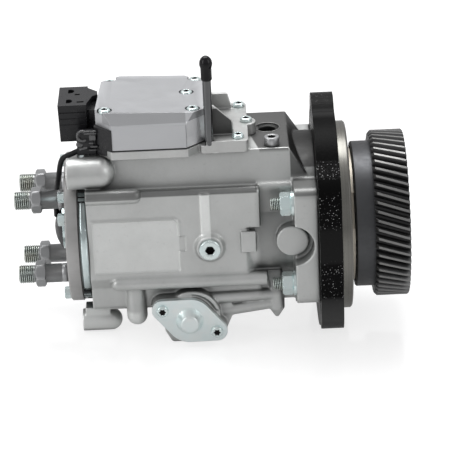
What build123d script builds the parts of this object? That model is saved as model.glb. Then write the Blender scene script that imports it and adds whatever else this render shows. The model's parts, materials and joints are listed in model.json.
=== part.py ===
"""Electronic distributor-type diesel injection pump with adapter plate and helical drive gear.

Millimetres. The shaft runs along X with the drive gear at +X, and +Z is up. The origin is where the shaft
axis meets the engine-side face of the adapter plate. Each sub-part is one function; NODES names them all.
"""

import os
from math import cos, degrees, pi, radians, sin, sqrt, tan

from build123d import *

# ---- fits ----
RUNNING = 0.03  # radial gap of a turning or sliding fit
SEAT = 0.05  # radial gap of a fixed spigot in its seat
FREE = 0.3  # gap between pieces that must not rub

# ---- adapter plate and pilot ring ----
PLATE_T = 16.3
PLATE_R = 81.8
PLATE_FLAT = 0.2  # the flat at the foot stands this far outside the rim
LOBES = 5
LOBE_FIRST = -16.5  # degrees from the top towards -Y
LOBE_R = 24.0
LOBE_REACH = 9.7  # how far a lobe stands out of the rim
LOBE_BLEND = 9.0
PLATE_BOLT_INSET = 4.8
PLATE_BOLT_R = 5.5
PILOT_R = 69.6
PILOT_L = 8.0
PILOT_CHAMFER = 1.2
PILOT_SEAT_T = 1.5
PILOT_SEAT_GAP = 0.1
PILOT_UNDERCUT_W, PILOT_UNDERCUT_D = 0.5, 0.6
PILOT_BORE_R = 50.3
PILOT_SPIGOT_R = 60.0
PILOT_SPIGOT_L = 5.0

# ---- housing ----
FLANGE_BACK_X = -33.5
HOUSING_BACK_X = -183.0
BARREL_R = 50.0
SIDE_Y = 52.0
SIDE_TOP_Z = 46.5
SIDE_FOOT = ((-45.5, -31.0), (-44.0, -47.0), (-37.0, -52.5))
SIDE_END_X = -58.0
SIDE_BLEND = 3.0
SIDE_TAPER_X, SIDE_TAPER_Z = -69.0, 15.0
VALLEY_Z = 44.0
WAIST_Y, WAIST_TOP_Z, WAIST_FOOT_Z, WAIST_BOTTOM_Z = 44.0, 46.0, -43.5, -49.5
TOP_Z = 70.0
TOP_Y = 36.0
BLOCK_FOOT_Y = 41.0
SLOPE_TOP_X = -35.7
SLOPE_FOOT_Z = 36.0
FLANGE_R = 63.9
FLANGE_FOOT_Z = -55.0
EAR_BLEND = 7.0
EAR_Y = 67.5
EAR_TOP_Z = 48.5
EAR_BOTTOM_Z = -42.0
NOSE_R = 45.0
NOSE_L = 12.0
HEAD_BORE_R = 40.0
CAM_BORE_R = 38.0
CAM_BORE_BACK_X = -124.0
CAM_BORE_FRONT_X = -72.0
SHAFT_TUNNEL_R = 24.0
BAND_R = 53.3
BAND_T = 1.2
BAND_W = 5.6
BAND_GAP = 0.9
CLIP_ANGLES = (38.0, 130.0)
CLIP_L, CLIP_H = 8.0, 2.6

# ---- bosses on the housing ----
INLET_X, INLET_Y, INLET_Z, INLET_R, INLET_L = -195.6, -42.0, 59.4, 11.5, 23.1
INLET_THREAD_R = 6.0
INLET_DEPTH = 18.0
INLET_WEB_Y, INLET_WEB_Z = -20.0, (-14.0, 6.0)
DRAIN_X, DRAIN_Y, DRAIN_Z, DRAIN_R, DRAIN_L = -192.0, -24.0, -66.1, 8.3, 21.0
DRAIN_THREAD_R = 5.0
DRAIN_DEPTH = 14.0
DRAIN_WEB_BACK, DRAIN_WEB_Y, DRAIN_WEB_TOP_Z = 2.5, 6.0, -44.0
UPPER_RIB_Z, UPPER_RIB_END_X, LOWER_RIB_Z, RIB_R = 43.6, -148.0, -25.5, 5.3
LOWER_RIB_BACK_X, LOWER_RIB_FRONT_X = -163.0, -44.0
RIB_Y = 50.6
POST_X, POST_Y, POST_R, POST_TIP_Z = -150.8, -42.0, 7.6, -62.5
NUB_X, NUB_Y, NUB_R, NUB_BASE_Z, NUB_TIP_Z, NUB_TIP_R = -47.8, -42.0, 5.8, -54.0, -61.5, 1.2
LOWER_RAIL, RAIL_R = ((-97.0, -44.5, -42.6), (NUB_X, -43.0, -41.4)), 4.8
FOOT_WEB, FOOT_WEB_R = ((-93.0, -42.0, -54.8), (NUB_X, -42.0, -48.9)), 5.0
ROUND_BOSS_X, ROUND_BOSS_Z, ROUND_BOSS_R, ROUND_BOSS_Y = -35.0, 5.3, 11.7, 57.0
PLUG_X, PLUG_Z, PLUG_BOSS_R, PLUG_BOSS_T, PLUG_BOSS_DRAFT = -95.0, 1.6, 9.6, 4.4, 2.2
PLUG_HEAD_R, PLUG_HEAD_L, PLUG_SHANK_R, PLUG_SHANK_L = 7.75, 3.2, 5.0, 9.0
PLUG_SOCKET_AF, PLUG_SOCKET_DEPTH = 6.0, 6.0
STRIP_X, STRIP_T, STRIP_TOP_Z = (-5.6, 0.8), 0.9, 44.0
PLATE_RECESS = (-179.5, -117.1, -17.0, 24.5)
PLATE_TAB = (-117.1, -112.0, -1.3, 11.2)
RECESS_DEPTH = 0.8
RETURN_X, RETURN_Y, RETURN_R, RETURN_DEPTH = -49.4, 5.0, 6.0, 14.0
RETURN_SPOT_R = 8.7

# ---- mounting studs ----
STUD_Y = 57.0
STUD_ZS = (35.0, -27.8)
STUD_R = 5.0
STUD_HOLE_R = 5.4
STUD_BACK_X = -50.5
STUD_FRONT_X = -5.3
NUT_AF, NUT_T = 15.0, 8.0
WASHER_R, WASHER_T = 9.2, 2.0

# ---- distributor head ----
HEAD_R = 55.4
HEAD_BACK_X = -199.2
HEAD_FRONT_X = -190.0
HEAD_SPIGOT_X = -126.0
OUTLET_PITCH_R = 39.4
OUTLET_FIRST = 35.7  # degrees from the top towards -Y
OUTLETS = 4
HOLDER_BODY_R, HOLDER_BODY_L = 7.0, 17.2
HOLDER_AF, HOLDER_HEX_L = 17.0, 7.4
HOLDER_COLLAR_R, HOLDER_COLLAR_L = 6.3, 1.6
HOLDER_THREAD_R, HOLDER_THREAD_L = 7.0, 10.6
HOLDER_SHANK_R, HOLDER_SHANK_L = 6.0, 12.0
HOLDER_CHAMBER_R = 3.6
HOLDER_BORE_R = 1.2
HEAD_BOLT_PITCH_R = 49.4
HEAD_BOLT_FIRST = 60.7
HEAD_BOLT_R, HEAD_BOLT_HEAD_AF, HEAD_BOLT_HEAD_L, HEAD_BOLT_L = 2.5, 8.0, 5.0, 32.0
SEAL_PLUG_ANGLE, SEAL_PLUG_PITCH_R, SEAL_PLUG_R, SEAL_PLUG_AF = 41.5, 50.0, 2.5, 7.0
ROTOR_R = 9.0
WIRE_SIDES = 8
VALVE_STROKE = 0.8

# ---- solenoid valve ----
SOLENOID_R = 16.5
SOLENOID_T = 4.3
SOLENOID_NECK_R = 10.0
CAP_L = 6.2
NEEDLE_R = 2.0
NEEDLE_STROKE = 0.4
LEAD_R = 2.0

# ---- shaft, gear ----
SHAFT_R = 14.0
SHAFT_FLANGE_R = 20.0
TAPER_BACK_X, TAPER_FRONT_X, TAPER_FRONT_R = 13.0, 36.0, 12.4
SHAFT_THREAD_R = 9.0
SHAFT_END_X = 49.5
GEAR_BACK_X, GEAR_W = 25.1, 25.4
GEAR_TEETH = 58
GEAR_TIP_R = 61.6
TOOTH_H = 4.2
HELIX = 18.5
GEAR_HUB_R = 54.0
GEAR_SKIRT_X = 11.5
GEAR_SKIRT_BORE_R = 50.5
GEAR_BOSS_R = 22.0
GEAR_WEB = (22.0, 35.0)
GEAR_DISH_R = 47.0
RETAINER_R, RETAINER_L = 49.0, 11.0
RETAINER_BACK_X = -3.0
RETAINER_NOTCH_ANGLE, RETAINER_NOTCH_W, RETAINER_NOTCH_D = 64.0, 26.0, 5.0
GEAR_WASHER_T, GEAR_WASHER_R = 2.5, 16.0
GEAR_NUT_AF, GEAR_NUT_T = 30.0, 10.0
KEY_W, KEY_H = 5.0, 3.0

# ---- bearings and seal ----
BUSH_R = 17.0
BUSHES = ((-70.0, -50.0), (-34.0, -14.0))
SEAL_X = (-12.0, -4.5)
SEAL_R = 22.0

# ---- vane pump ----
VANE_X = (-90.0, CAM_BORE_FRONT_X)
VANE_RING_BORE_R, VANE_RING_OFFSET = 27.0, 3.0
VANE_ROTOR_R = 22.5
VANES = 4
VANE_T, VANE_ROOT_R, VANE_TIP_R = 2.0, 16.5, 23.7
VANE_PLATE_T, VANE_PLATE_BORE_R = 3.0, 15.0

# ---- timing device, cam ring and plungers ----
TIMING_X, TIMING_Z = -112.2, -54.6
TIMING_BORE_R = 12.5
TIMING_ADVANCE = 12.0  # degrees of cam ring travel
COVER_Y, COVER_T, COVER_R, COVER_EAR_R = 54.5, 3.5, 17.2, 7.8
COVER_SCREW_PITCH_R, COVER_SCREW_TILT = 21.6, 25.0
COVER_SCREW_R, COVER_SCREW_HEAD_R, COVER_SCREW_HEAD_L, COVER_SCREW_L = 2.5, 4.5, 3.0, 16.0
DOME_R, DOME_TOP_R, DOME_H = 10.0, 6.3, 7.5
FOOT_Z = -77.1
FOOT_Y = 46.0
FOOT_LEFT = ((-19.6, -45.0), (-18.6, -68.0), (-13.6, FOOT_Z))
FOOT_RIGHT = ((11.4, FOOT_Z), (25.5, -71.0), (31.5, -57.5), (31.5, -45.0))
COLLAR_INSET, COLLAR_REACH = 3.0, 3.6
TIMING_PIN_R, TIMING_PIN_DEPTH = 4.5, 5.0
CAM_W = 20.0
CAM_FLAT = 28.3
CAM_CORNER_R = 22.0
CARRIER_R, CARRIER_W = 26.0, 18.0
ROLLER_R, ROLLER_PITCH_R = 4.0, 24.0
PLUNGER_R = 3.5
SPEED_WHEEL_R, SPEED_WHEEL_T, SPEED_TEETH = 30.0, 1.6, 36

# ---- control unit ----
BASE_T = 6.0
GASKET_T = 0.8
COVER_BACK_TOP_Z, COVER_FRONT_TOP_Z = 104.0, 101.3
UNIT_WALL = 2.6
UNIT_BEVEL_Y, UNIT_BEVEL_Z = 6.0, 7.8
UNIT_X = (-173.0, -95.0)
UNIT_Y = (-45.0, 36.0)
UNIT_CUT, UNIT_TAPER = 13.5, 3.0
LEDGE_FRONT_X, LEDGE_T = -64.0, 9.0
LEDGE_Y = (-41.0, 34.0)
GUSSET_T, GUSSET_FOOT_X = 3.0, -74.3
GUSSETS = ((-26.0, ((-74.3, 88.0), (-88.0, 101.0))), (25.0, ((-77.5, 91.0),)))
UNIT_SCREW_R, UNIT_SCREW_HEAD_R, UNIT_SCREW_HEAD_L = 2.2, 4.4, 2.8
UNIT_BOSS_R = 5.4
PIPE_X, PIPE_Y, PIPE_R, PIPE_TOP_Z = -92.0, -38.0, 3.15, 128.0
PIPE_CAP_R, PIPE_CAP_BOTTOM_Z, PIPE_CAP_TOP_Z = 4.7, 125.2, 143.5

# ---- circuit board ----
BOARD_X, BOARD_Y, BOARD_T, BOARD_LIFT = (-158.0, -114.0), (-36.0, 30.0), 1.6, 1.5
BOARD_POST_R, BOARD_POST_INSET = 2.5, 4.0
CHIPS, CHIP_H = ((12.0, 18.0, 12.0), (30.0, 42.0, 14.0), (14.0, 48.0, 9.0)), 2.4

# ---- connector ----
PLUG_BLOCK_X, PLUG_BLOCK_Y, PLUG_BLOCK_Z = (-200.3, -180.0), (-19.0, 19.0), (75.3, 103.0)
PLUG_NECK_Z = (82.0, 98.0)
CORNER_PLATE_T, CORNER_PLATE_Z = 1.3, (72.0, 96.0)
GROMMET_Y, GROMMET_Z, GROMMET_R = -30.5, 80.5, 9.0
GROMMET_X = (-187.0, -174.3)

# ---- derived places ----
LOBE_CENTRE_R = PLATE_R + LOBE_REACH - LOBE_R
PLATE_BOLT_PCD = 2 * (PLATE_R - PLATE_BOLT_INSET)
PLATE_FOOT_Z = -PLATE_R - PLATE_FLAT
UNIT_SEAM_Z = TOP_Z + BASE_T
COVER_BOTTOM_Z = UNIT_SEAM_Z + GASKET_T
LEDGE_TOP_Z = TOP_Z + LEDGE_T
HOLDER_HEX_X = HEAD_BACK_X - HOLDER_BODY_L
HOLDER_COLLAR_X = HOLDER_HEX_X - HOLDER_HEX_L
HOLDER_THREAD_X = HOLDER_COLLAR_X - HOLDER_COLLAR_L
HOLDER_TIP_X = HOLDER_THREAD_X - HOLDER_THREAD_L
SOLENOID_BACK_X = HEAD_BACK_X - SOLENOID_T
CARRIER_X = (TIMING_X - CARRIER_W / 2, TIMING_X + CARRIER_W / 2)
GEAR_FRONT_X = GEAR_BACK_X + GEAR_W
UNIT_SCREWS = ((-166.0, -33.0), (-103.0, -31.0), (-107.3, 2.0), (-101.0, 30.0), (-164.0, 31.0))
LEDGE_SCREWS = ((-71.3, -34.0), (-64.7, -3.0), (-69.4, 27.5))
BLEED_X, BLEED_Y, BLEED_R, BLEED_HEAD_R, BLEED_HEAD_L = -47.0, -28.5, 4.0, 5.6, 6.5


# ---- shapes ----
UPRIGHT = (Align.CENTER, Align.CENTER, Align.MIN)


def rod_x(x0, x1, r, y=0.0, z=0.0):
    """A round bar along X."""
    return Pos(x0, y, z) * Rot(0, 90, 0) * Cylinder(r, x1 - x0, align=UPRIGHT)


def rod_y(y0, y1, r, x, z):
    """A round bar along Y."""
    return Pos(x, y0, z) * Rot(-90, 0, 0) * Cylinder(r, y1 - y0, align=UPRIGHT)


def rod_z(z0, z1, r, x, y):
    """A round bar along Z."""
    return Pos(x, y, z0) * Cylinder(r, z1 - z0, align=UPRIGHT)


def tube_x(x0, x1, r_out, r_in):
    return rod_x(x0, x1, r_out) - rod_x(x0 - 1, x1 + 1, r_in)


def cone_x(x0, x1, r0, r1, y=0.0, z=0.0):
    return Pos(x0, y, z) * Rot(0, 90, 0) * Cone(r0, r1, x1 - x0, align=UPRIGHT)


def block(xs, ys, zs):
    """A box between two X, two Y and two Z values."""
    size = [b - a for a, b in (xs, ys, zs)]
    return Pos(xs[0], ys[0], zs[0]) * Box(*size, align=(Align.MIN, Align.MIN, Align.MIN))


def prism_x(x0, x1, points, blend=0.0):
    """A (y, z) outline extruded along X, with its corners rounded by blend."""
    face = Plane.YZ.offset(x0) * make_face(Polyline(*points, close=True))
    if blend:
        face = fillet(face.vertices(), blend)
    return extrude(face, x1 - x0)


def prism_y(y0, y1, points, blend=0.0):
    """An (x, z) outline extruded along Y."""
    face = Plane.XZ.offset(-y1) * make_face(Polyline(*points, close=True))
    if blend:
        face = fillet(face.vertices(), blend)
    return extrude(face, y1 - y0)


def prism_z(z0, z1, points, blend=0.0):
    """An (x, y) outline extruded along Z."""
    face = Plane.XY.offset(z0) * make_face(Polyline(*points, close=True))
    if blend:
        face = fillet(face.vertices(), blend)
    return extrude(face, z1 - z0)


def hex_x(x0, x1, flats, y=0.0, z=0.0):
    """A hexagonal bar along X, measured across its flats."""
    face = Plane((x0, y, z), x_dir=(0, 1, 0), z_dir=(1, 0, 0)) * RegularPolygon(flats / sqrt(3), 6)
    return extrude(face, x1 - x0)


def chamfered_hex_x(x0, x1, flats, y=0.0, z=0.0):
    """A hexagonal nut blank with its corners turned down at both ends."""
    corner = flats / sqrt(3)
    turn = corner - flats / 2
    length = x1 - x0
    ends = cone_x(x0, x0 + turn, flats / 2, corner + 0.01, y, z)
    ends += rod_x(x0 + turn, x0 + length - turn, corner + 0.01, y, z)
    ends += cone_x(x1 - turn, x1, corner + 0.01, flats / 2, y, z)
    return hex_x(x0, x1, flats, y, z) & ends


def polar(radius, angle):
    """The (y, z) of a point, with the angle in degrees from the top towards -Y."""
    return -radius * sin(radians(angle)), radius * cos(radians(angle))


def around(count, first=0.0):
    return [first + 360.0 / count * k for k in range(count)]


# ---- adapter plate ----
def adapter_plate():
    outline = Circle(PLATE_R)
    for angle in around(LOBES, LOBE_FIRST):
        y, z = polar(LOBE_CENTRE_R, angle)
        outline += Pos(y, z) * Circle(LOBE_R)
    corners = [v for v in outline.vertices() if abs(v.center().length - PLATE_R) < 0.5]
    outline = fillet(corners, LOBE_BLEND)
    plate = extrude(Plane.YZ.offset(-PLATE_T) * outline, PLATE_T)
    plate -= block((-PLATE_T - 1, 1), (-PLATE_R, PLATE_R), (-2 * PLATE_R, PLATE_FOOT_Z))
    plate -= rod_x(-PLATE_T - 1, 1, NOSE_R)
    plate -= rod_x(-PILOT_SPIGOT_L, 1, PILOT_SPIGOT_R)
    plate -= rod_x(-PILOT_SEAT_T, 1, PILOT_R + PILOT_SEAT_GAP)
    for angle in around(LOBES, LOBE_FIRST):
        y, z = polar(PLATE_BOLT_PCD / 2, angle)
        plate -= rod_x(-PLATE_T - 1, 1, PLATE_BOLT_R, y, z)
    for y, z in stud_places():
        plate -= rod_x(-PLATE_T - 1, STUD_FRONT_X, STUD_R, y, z)
    return plate


def pilot_ring():
    """The ring sits in a shallow recess of the plate, with an undercut at its foot."""
    ring = rod_x(-PILOT_SPIGOT_L, -PILOT_SEAT_T, PILOT_SPIGOT_R - SEAT)
    ring += rod_x(-PILOT_SEAT_T, PILOT_UNDERCUT_W, PILOT_R - PILOT_UNDERCUT_D)
    rim = rod_x(PILOT_UNDERCUT_W, PILOT_L, PILOT_R)
    ring += chamfer(rim.edges().sort_by(Axis.X)[-1], PILOT_CHAMFER)
    return ring - rod_x(-PILOT_SPIGOT_L - 1, PILOT_L + 1, PILOT_BORE_R)


def seal_retainer():
    body = rod_x(RETAINER_BACK_X, RETAINER_L, RETAINER_R) - rod_x(-PLATE_T, RETAINER_L + 1, SHAFT_R + 4)
    lip = rod_x(RETAINER_BACK_X, 3, PILOT_BORE_R - SEAT) - rod_x(-PLATE_T, 4, RETAINER_R - 1)
    body += lip
    y, z = polar(RETAINER_R, RETAINER_NOTCH_ANGLE)
    notch = Box(8, RETAINER_NOTCH_W, 2 * RETAINER_NOTCH_D)
    return body - Pos(RETAINER_L - 1, y, z) * Rot(RETAINER_NOTCH_ANGLE, 0, 0) * notch


# ---- housing ----
def stud_places():
    return [(side * STUD_Y, z) for side in (-1, 1) for z in STUD_ZS]


def cover_outline(grow=0.0):
    """The timing cover's (x, z) outline: two screw ears and a round middle."""
    tilt = radians(COVER_SCREW_TILT)
    dx = COVER_SCREW_PITCH_R * cos(tilt)
    dz = -COVER_SCREW_PITCH_R * sin(tilt)
    circles = [Circle(COVER_R + grow)]
    for side in (-1, 1):
        circles.append(Pos(side * dx, side * dz) * Circle(COVER_EAR_R + grow))
    return make_hull([e for c in circles for e in c.edges()])


def cover_screw_places():
    tilt = radians(COVER_SCREW_TILT)
    dx = COVER_SCREW_PITCH_R * cos(tilt)
    dz = -COVER_SCREW_PITCH_R * sin(tilt)
    return [(TIMING_X + side * dx, TIMING_Z + side * dz) for side in (-1, 1)]


def cover_slab(y0, y1, grow=0.0):
    plane = Plane((TIMING_X, y1, TIMING_Z), x_dir=(1, 0, 0), z_dir=(0, -1, 0))
    return extrude(plane * cover_outline(grow), y1 - y0)


def both_sides(points):
    """A symmetric (y, z) outline from its camera-side half, listed from top to bottom."""
    return points + [(-y, z) for y, z in reversed(points)]


def housing_shell():
    """The side panels, the narrower waist behind the flange, the barrel and the upper block."""
    panel = [(-BLOCK_FOOT_Y, VALLEY_Z), (-SIDE_Y + SIDE_BLEND, SIDE_TOP_Z)]
    panel += [(-SIDE_Y, SIDE_TOP_Z - SIDE_BLEND), (-SIDE_Y, LOWER_RIB_Z + 4), *SIDE_FOOT]
    shell = prism_x(HOUSING_BACK_X, SIDE_END_X, both_sides(panel), SIDE_BLEND / 2)
    for side in (-1, 1):
        taper = [(SIDE_TAPER_X, side * SIDE_Y), (SIDE_END_X, side * WAIST_Y)]
        taper += [(SIDE_END_X + 1, side * WAIST_Y), (SIDE_END_X + 1, side * (SIDE_Y + 1))]
        taper += [(SIDE_TAPER_X, side * (SIDE_Y + 1))]
        shell -= prism_z(SIDE_FOOT[-1][1], SIDE_TAPER_Z, taper)
    waist = [(-WAIST_Y, WAIST_TOP_Z), (-WAIST_Y, WAIST_FOOT_Z), (SIDE_FOOT[-1][0], WAIST_BOTTOM_Z)]
    shell += prism_x(SIDE_END_X - 1, FLANGE_BACK_X + 1, both_sides(waist), SIDE_BLEND)
    shell += rod_x(HOUSING_BACK_X, FLANGE_BACK_X + 1, BARREL_R)
    upper = prism_x(HOUSING_BACK_X, -PLATE_T, both_sides([(-TOP_Y, TOP_Z), (-BLOCK_FOOT_Y, VALLEY_Z)]))
    slope = [(SLOPE_TOP_X, TOP_Z + 1), (2 - PLATE_T, TOP_Z + 1), (2 - PLATE_T, SLOPE_FOOT_Z)]
    shell += upper - prism_y(-60, 60, slope)
    return shell


def housing_flange():
    ears = [(-EAR_Y, EAR_BOTTOM_Z), (EAR_Y, EAR_BOTTOM_Z), (EAR_Y, EAR_TOP_Z), (-EAR_Y, EAR_TOP_Z)]
    flange = prism_x(FLANGE_BACK_X, -PLATE_T, ears, EAR_BLEND)
    flange += rod_x(FLANGE_BACK_X, -PLATE_T, FLANGE_R)
    flange -= block((FLANGE_BACK_X - 1, 0), (-FLANGE_R, FLANGE_R), (-FLANGE_R - 1, FLANGE_FOOT_Z))
    flange += rod_x(-PLATE_T, -PLATE_T + NOSE_L, NOSE_R - SEAT)
    return flange


def rail(ends, r):
    """A round bar between two points, with ball ends."""
    start, end = Vector(*ends[0]), Vector(*ends[1])
    bar = Cylinder(r, (end - start).length, align=UPRIGHT)
    bar = Plane(start, z_dir=end - start).location * bar
    return bar + Pos(start) * Sphere(r) + Pos(end) * Sphere(r)


def round_end_x(x0, x1, r, y, z):
    """A boss along X with a ball end at x1."""
    return rod_x(x0, x1, r, y, z) + Pos(x1, y, z) * Sphere(r)


def housing_bosses():
    inlet_end = INLET_X + INLET_L
    bosses = round_end_x(INLET_X, inlet_end, INLET_R, INLET_Y, INLET_Z)
    web_z = (INLET_Z + INLET_WEB_Z[0], INLET_Z + INLET_WEB_Z[1])
    bosses += block((HOUSING_BACK_X, inlet_end), (INLET_Y, INLET_WEB_Y), web_z)
    drain_end = DRAIN_X + DRAIN_L
    bosses += round_end_x(DRAIN_X, drain_end, DRAIN_R, DRAIN_Y, DRAIN_Z)
    web_y = (DRAIN_Y - DRAIN_WEB_Y, DRAIN_Y + DRAIN_WEB_Y)
    bosses += block((DRAIN_X + DRAIN_WEB_BACK, drain_end), web_y, (DRAIN_Z, -BARREL_R - 4))
    bosses += block((HOUSING_BACK_X, drain_end), web_y, (-BARREL_R - 4, DRAIN_WEB_TOP_Z))
    for side in (-1, 1):
        y = side * RIB_Y
        bosses += round_end_x(HOUSING_BACK_X, UPPER_RIB_END_X, RIB_R, y, UPPER_RIB_Z)
        lower = rod_x(LOWER_RIB_BACK_X, LOWER_RIB_FRONT_X, RIB_R, y, LOWER_RIB_Z)
        bosses += lower + Pos(LOWER_RIB_BACK_X, y, LOWER_RIB_Z) * Sphere(RIB_R)
        root = sorted((side * (WAIST_Y - 2), side * RIB_Y))
        root_z = (LOWER_RIB_Z - RIB_R + 1, LOWER_RIB_Z + RIB_R - 1)
        bosses += block((SIDE_TAPER_X, LOWER_RIB_FRONT_X), root, root_z)
    bosses += rail(LOWER_RAIL, RAIL_R) + rail(FOOT_WEB, FOOT_WEB_R)
    bosses += rod_z(POST_TIP_Z + POST_R, LOWER_RIB_Z, POST_R, POST_X, POST_Y)
    bosses += Pos(POST_X, POST_Y, POST_TIP_Z + POST_R) * Sphere(POST_R)
    bosses += rod_z(NUB_BASE_Z, LOWER_RIB_Z, NUB_R, NUB_X, NUB_Y)
    nub = Cone(NUB_TIP_R, NUB_R, NUB_BASE_Z - NUB_TIP_Z, align=UPRIGHT)
    bosses += Pos(NUB_X, NUB_Y, NUB_TIP_Z) * nub
    bosses += rod_y(-SIDE_Y - PLUG_BOSS_T, -BLOCK_FOOT_Y, PLUG_BOSS_R, PLUG_X, PLUG_Z)
    skirt_r = PLUG_BOSS_R + PLUG_BOSS_DRAFT
    skirt = Cone(skirt_r, PLUG_BOSS_R, PLUG_BOSS_T - 1, align=UPRIGHT)
    bosses += Pos(PLUG_X, -SIDE_Y, PLUG_Z) * Rot(90, 0, 0) * skirt
    strip_y = (-SIDE_Y - STRIP_T, -SIDE_Y + 1)
    bosses += block((PLUG_X + STRIP_X[0], PLUG_X + STRIP_X[1]), strip_y, (PLUG_Z, STRIP_TOP_Z))
    return bosses


def timing_housing():
    body = cover_slab(-COVER_Y, COVER_Y)
    foot = [(TIMING_X + x, z) for x, z in FOOT_LEFT + FOOT_RIGHT]
    body += prism_y(-FOOT_Y, FOOT_Y, foot, 3.0)
    collar_y = COVER_Y - COLLAR_INSET
    collar = rod_y(-collar_y, collar_y, COVER_R + COLLAR_REACH, TIMING_X + 2, TIMING_Z + 0.5)
    reach = COVER_R + COLLAR_REACH + 3
    body += collar & block((TIMING_X - reach, TIMING_X + reach), (-COVER_Y, COVER_Y), (TIMING_Z, 0))
    return body


def pump_housing():
    body = housing_shell() + housing_flange() + housing_bosses() + timing_housing()
    body -= rod_y(-EAR_Y - 5, -ROUND_BOSS_Y + 2.5, ROUND_BOSS_R + 3.6, ROUND_BOSS_X, ROUND_BOSS_Z)
    body += rod_y(-ROUND_BOSS_Y, -40, ROUND_BOSS_R, ROUND_BOSS_X, ROUND_BOSS_Z)
    for y, z in stud_places():
        spot = rod_x(SIDE_END_X + 4, FLANGE_BACK_X, WASHER_R + 1.6, y, z)
        body -= spot - rod_y(-ROUND_BOSS_Y, ROUND_BOSS_Y, ROUND_BOSS_R, ROUND_BOSS_X, ROUND_BOSS_Z)
        body -= rod_x(FLANGE_BACK_X - 1, -PLATE_T + 1, STUD_HOLE_R, y, z)
    body -= rod_x(HOUSING_BACK_X - 1, CAM_BORE_BACK_X, HEAD_BORE_R)
    body -= rod_x(CAM_BORE_BACK_X - 1, CAM_BORE_FRONT_X, CAM_BORE_R)
    body -= rod_x(CAM_BORE_FRONT_X - 1, 0, BUSH_R)
    body -= rod_x(BUSHES[0][1], BUSHES[1][0], SHAFT_TUNNEL_R)
    body -= rod_x(SEAL_X[0], 0, SEAL_R)
    groove_x = -PLATE_T + NOSE_L / 2
    body -= tube_x(groove_x - 2, groove_x + 2, NOSE_R + 1, NOSE_R - 3)
    body -= rod_y(-COVER_Y - 1, COVER_Y + 1, TIMING_BORE_R, TIMING_X, TIMING_Z)
    body -= block((TIMING_X - 6.5, TIMING_X + 6.5), (-15, 15), (TIMING_Z + 6, -CAM_BORE_R + 4))
    for x, z in cover_screw_places():
        for side in (-1, 1):
            ends = sorted((side * (COVER_Y - COVER_SCREW_L + COVER_T), side * (COVER_Y + 1)))
            body -= rod_y(ends[0], ends[1], COVER_SCREW_R, x, z)
    for angle in around(4, HEAD_BOLT_FIRST):
        y, z = polar(HEAD_BOLT_PITCH_R, angle)
        body -= rod_x(HOUSING_BACK_X - 1, HEAD_BACK_X + HEAD_BOLT_L, HEAD_BOLT_R, y, z)
    body -= rod_x(INLET_X - 1, INLET_X + INLET_DEPTH, INLET_THREAD_R, INLET_Y, INLET_Z)
    body -= rod_x(DRAIN_X - 1, DRAIN_X + DRAIN_DEPTH, DRAIN_THREAD_R, DRAIN_Y, DRAIN_Z)
    body -= rod_z(TOP_Z - RETURN_DEPTH, TOP_Z + 1, RETURN_R, RETURN_X, RETURN_Y)
    body -= rod_z(TOP_Z - 1.2, TOP_Z + 1, RETURN_SPOT_R, RETURN_X, RETURN_Y)
    body -= rod_z(TOP_Z - 12, TOP_Z + 1, BLEED_R, BLEED_X, BLEED_Y)
    face = -SIDE_Y - PLUG_BOSS_T
    body -= rod_y(face - 1, face + PLUG_SHANK_L + 1, PLUG_SHANK_R, PLUG_X, PLUG_Z)
    for x, y in LEDGE_SCREWS:
        body -= rod_z(TOP_Z - 10, TOP_Z + 1, UNIT_SCREW_R, x, y)
    for x0, x1, z0, z1 in (PLATE_RECESS, PLATE_TAB):
        body -= block((x0, x1), (-SIDE_Y - 1, -SIDE_Y + RECESS_DEPTH), (z0, z1))
    return body


# ---- joint between housing and head ----
def joint_band():
    x0 = HEAD_FRONT_X + BAND_GAP
    return tube_x(x0, x0 + BAND_W, BAND_R + BAND_T, BAND_R)


def band_clips():
    clips = []
    x0 = HEAD_FRONT_X + BAND_GAP
    for angle in CLIP_ANGLES:
        clip = Pos(x0 + BAND_W / 2, 0, BAND_R + BAND_T + CLIP_H / 2) * Box(BAND_W, CLIP_L, CLIP_H)
        clip -= rod_x(x0 - 1, x0 + BAND_W + 1, BAND_R + BAND_T)
        clips.append(Rot(angle, 0, 0) * clip)
    return clips


# ---- distributor head ----
def outlet_places():
    return [polar(OUTLET_PITCH_R, a) for a in around(OUTLETS, OUTLET_FIRST)]


def distributor_head():
    head = chamfer(rod_x(HEAD_BACK_X, HEAD_FRONT_X, HEAD_R).edges().sort_by(Axis.X)[0], 1.0)
    head += rod_x(HEAD_FRONT_X, HOUSING_BACK_X, BAND_R - SEAT)
    head += rod_x(HOUSING_BACK_X, HEAD_SPIGOT_X, HEAD_BORE_R - SEAT)
    head -= rod_x(HEAD_BACK_X - 1, HEAD_BACK_X + 10, SOLENOID_NECK_R + SEAT)
    head -= rod_x(HEAD_BACK_X + 9, HEAD_SPIGOT_X + 1, ROTOR_R + RUNNING)
    head -= tube_x(-172, -168, HEAD_BORE_R + 1, HEAD_BORE_R - 3.1)
    for y, z in outlet_places():
        head -= rod_x(HEAD_BACK_X - 1, HEAD_BACK_X + HOLDER_SHANK_L, HOLDER_SHANK_R, y, z)
        head -= rod_x(HEAD_BACK_X, HEAD_BACK_X + HOLDER_SHANK_L + 8, 1.0, y, z)
    for angle in around(4, HEAD_BOLT_FIRST):
        y, z = polar(HEAD_BOLT_PITCH_R, angle)
        head -= rod_x(HEAD_BACK_X - 1, HOUSING_BACK_X, HEAD_BOLT_R + 0.2, y, z)
    y, z = polar(SEAL_PLUG_PITCH_R, SEAL_PLUG_ANGLE)
    head -= rod_x(HEAD_BACK_X - 1, HEAD_BACK_X + 7, SEAL_PLUG_R, y, z)
    return head


def seal_ring(x, r_seat, r_section):
    return Plane((x, 0, 0), x_dir=(0, 1, 0), z_dir=(1, 0, 0)) * Torus(r_seat, r_section)


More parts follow.
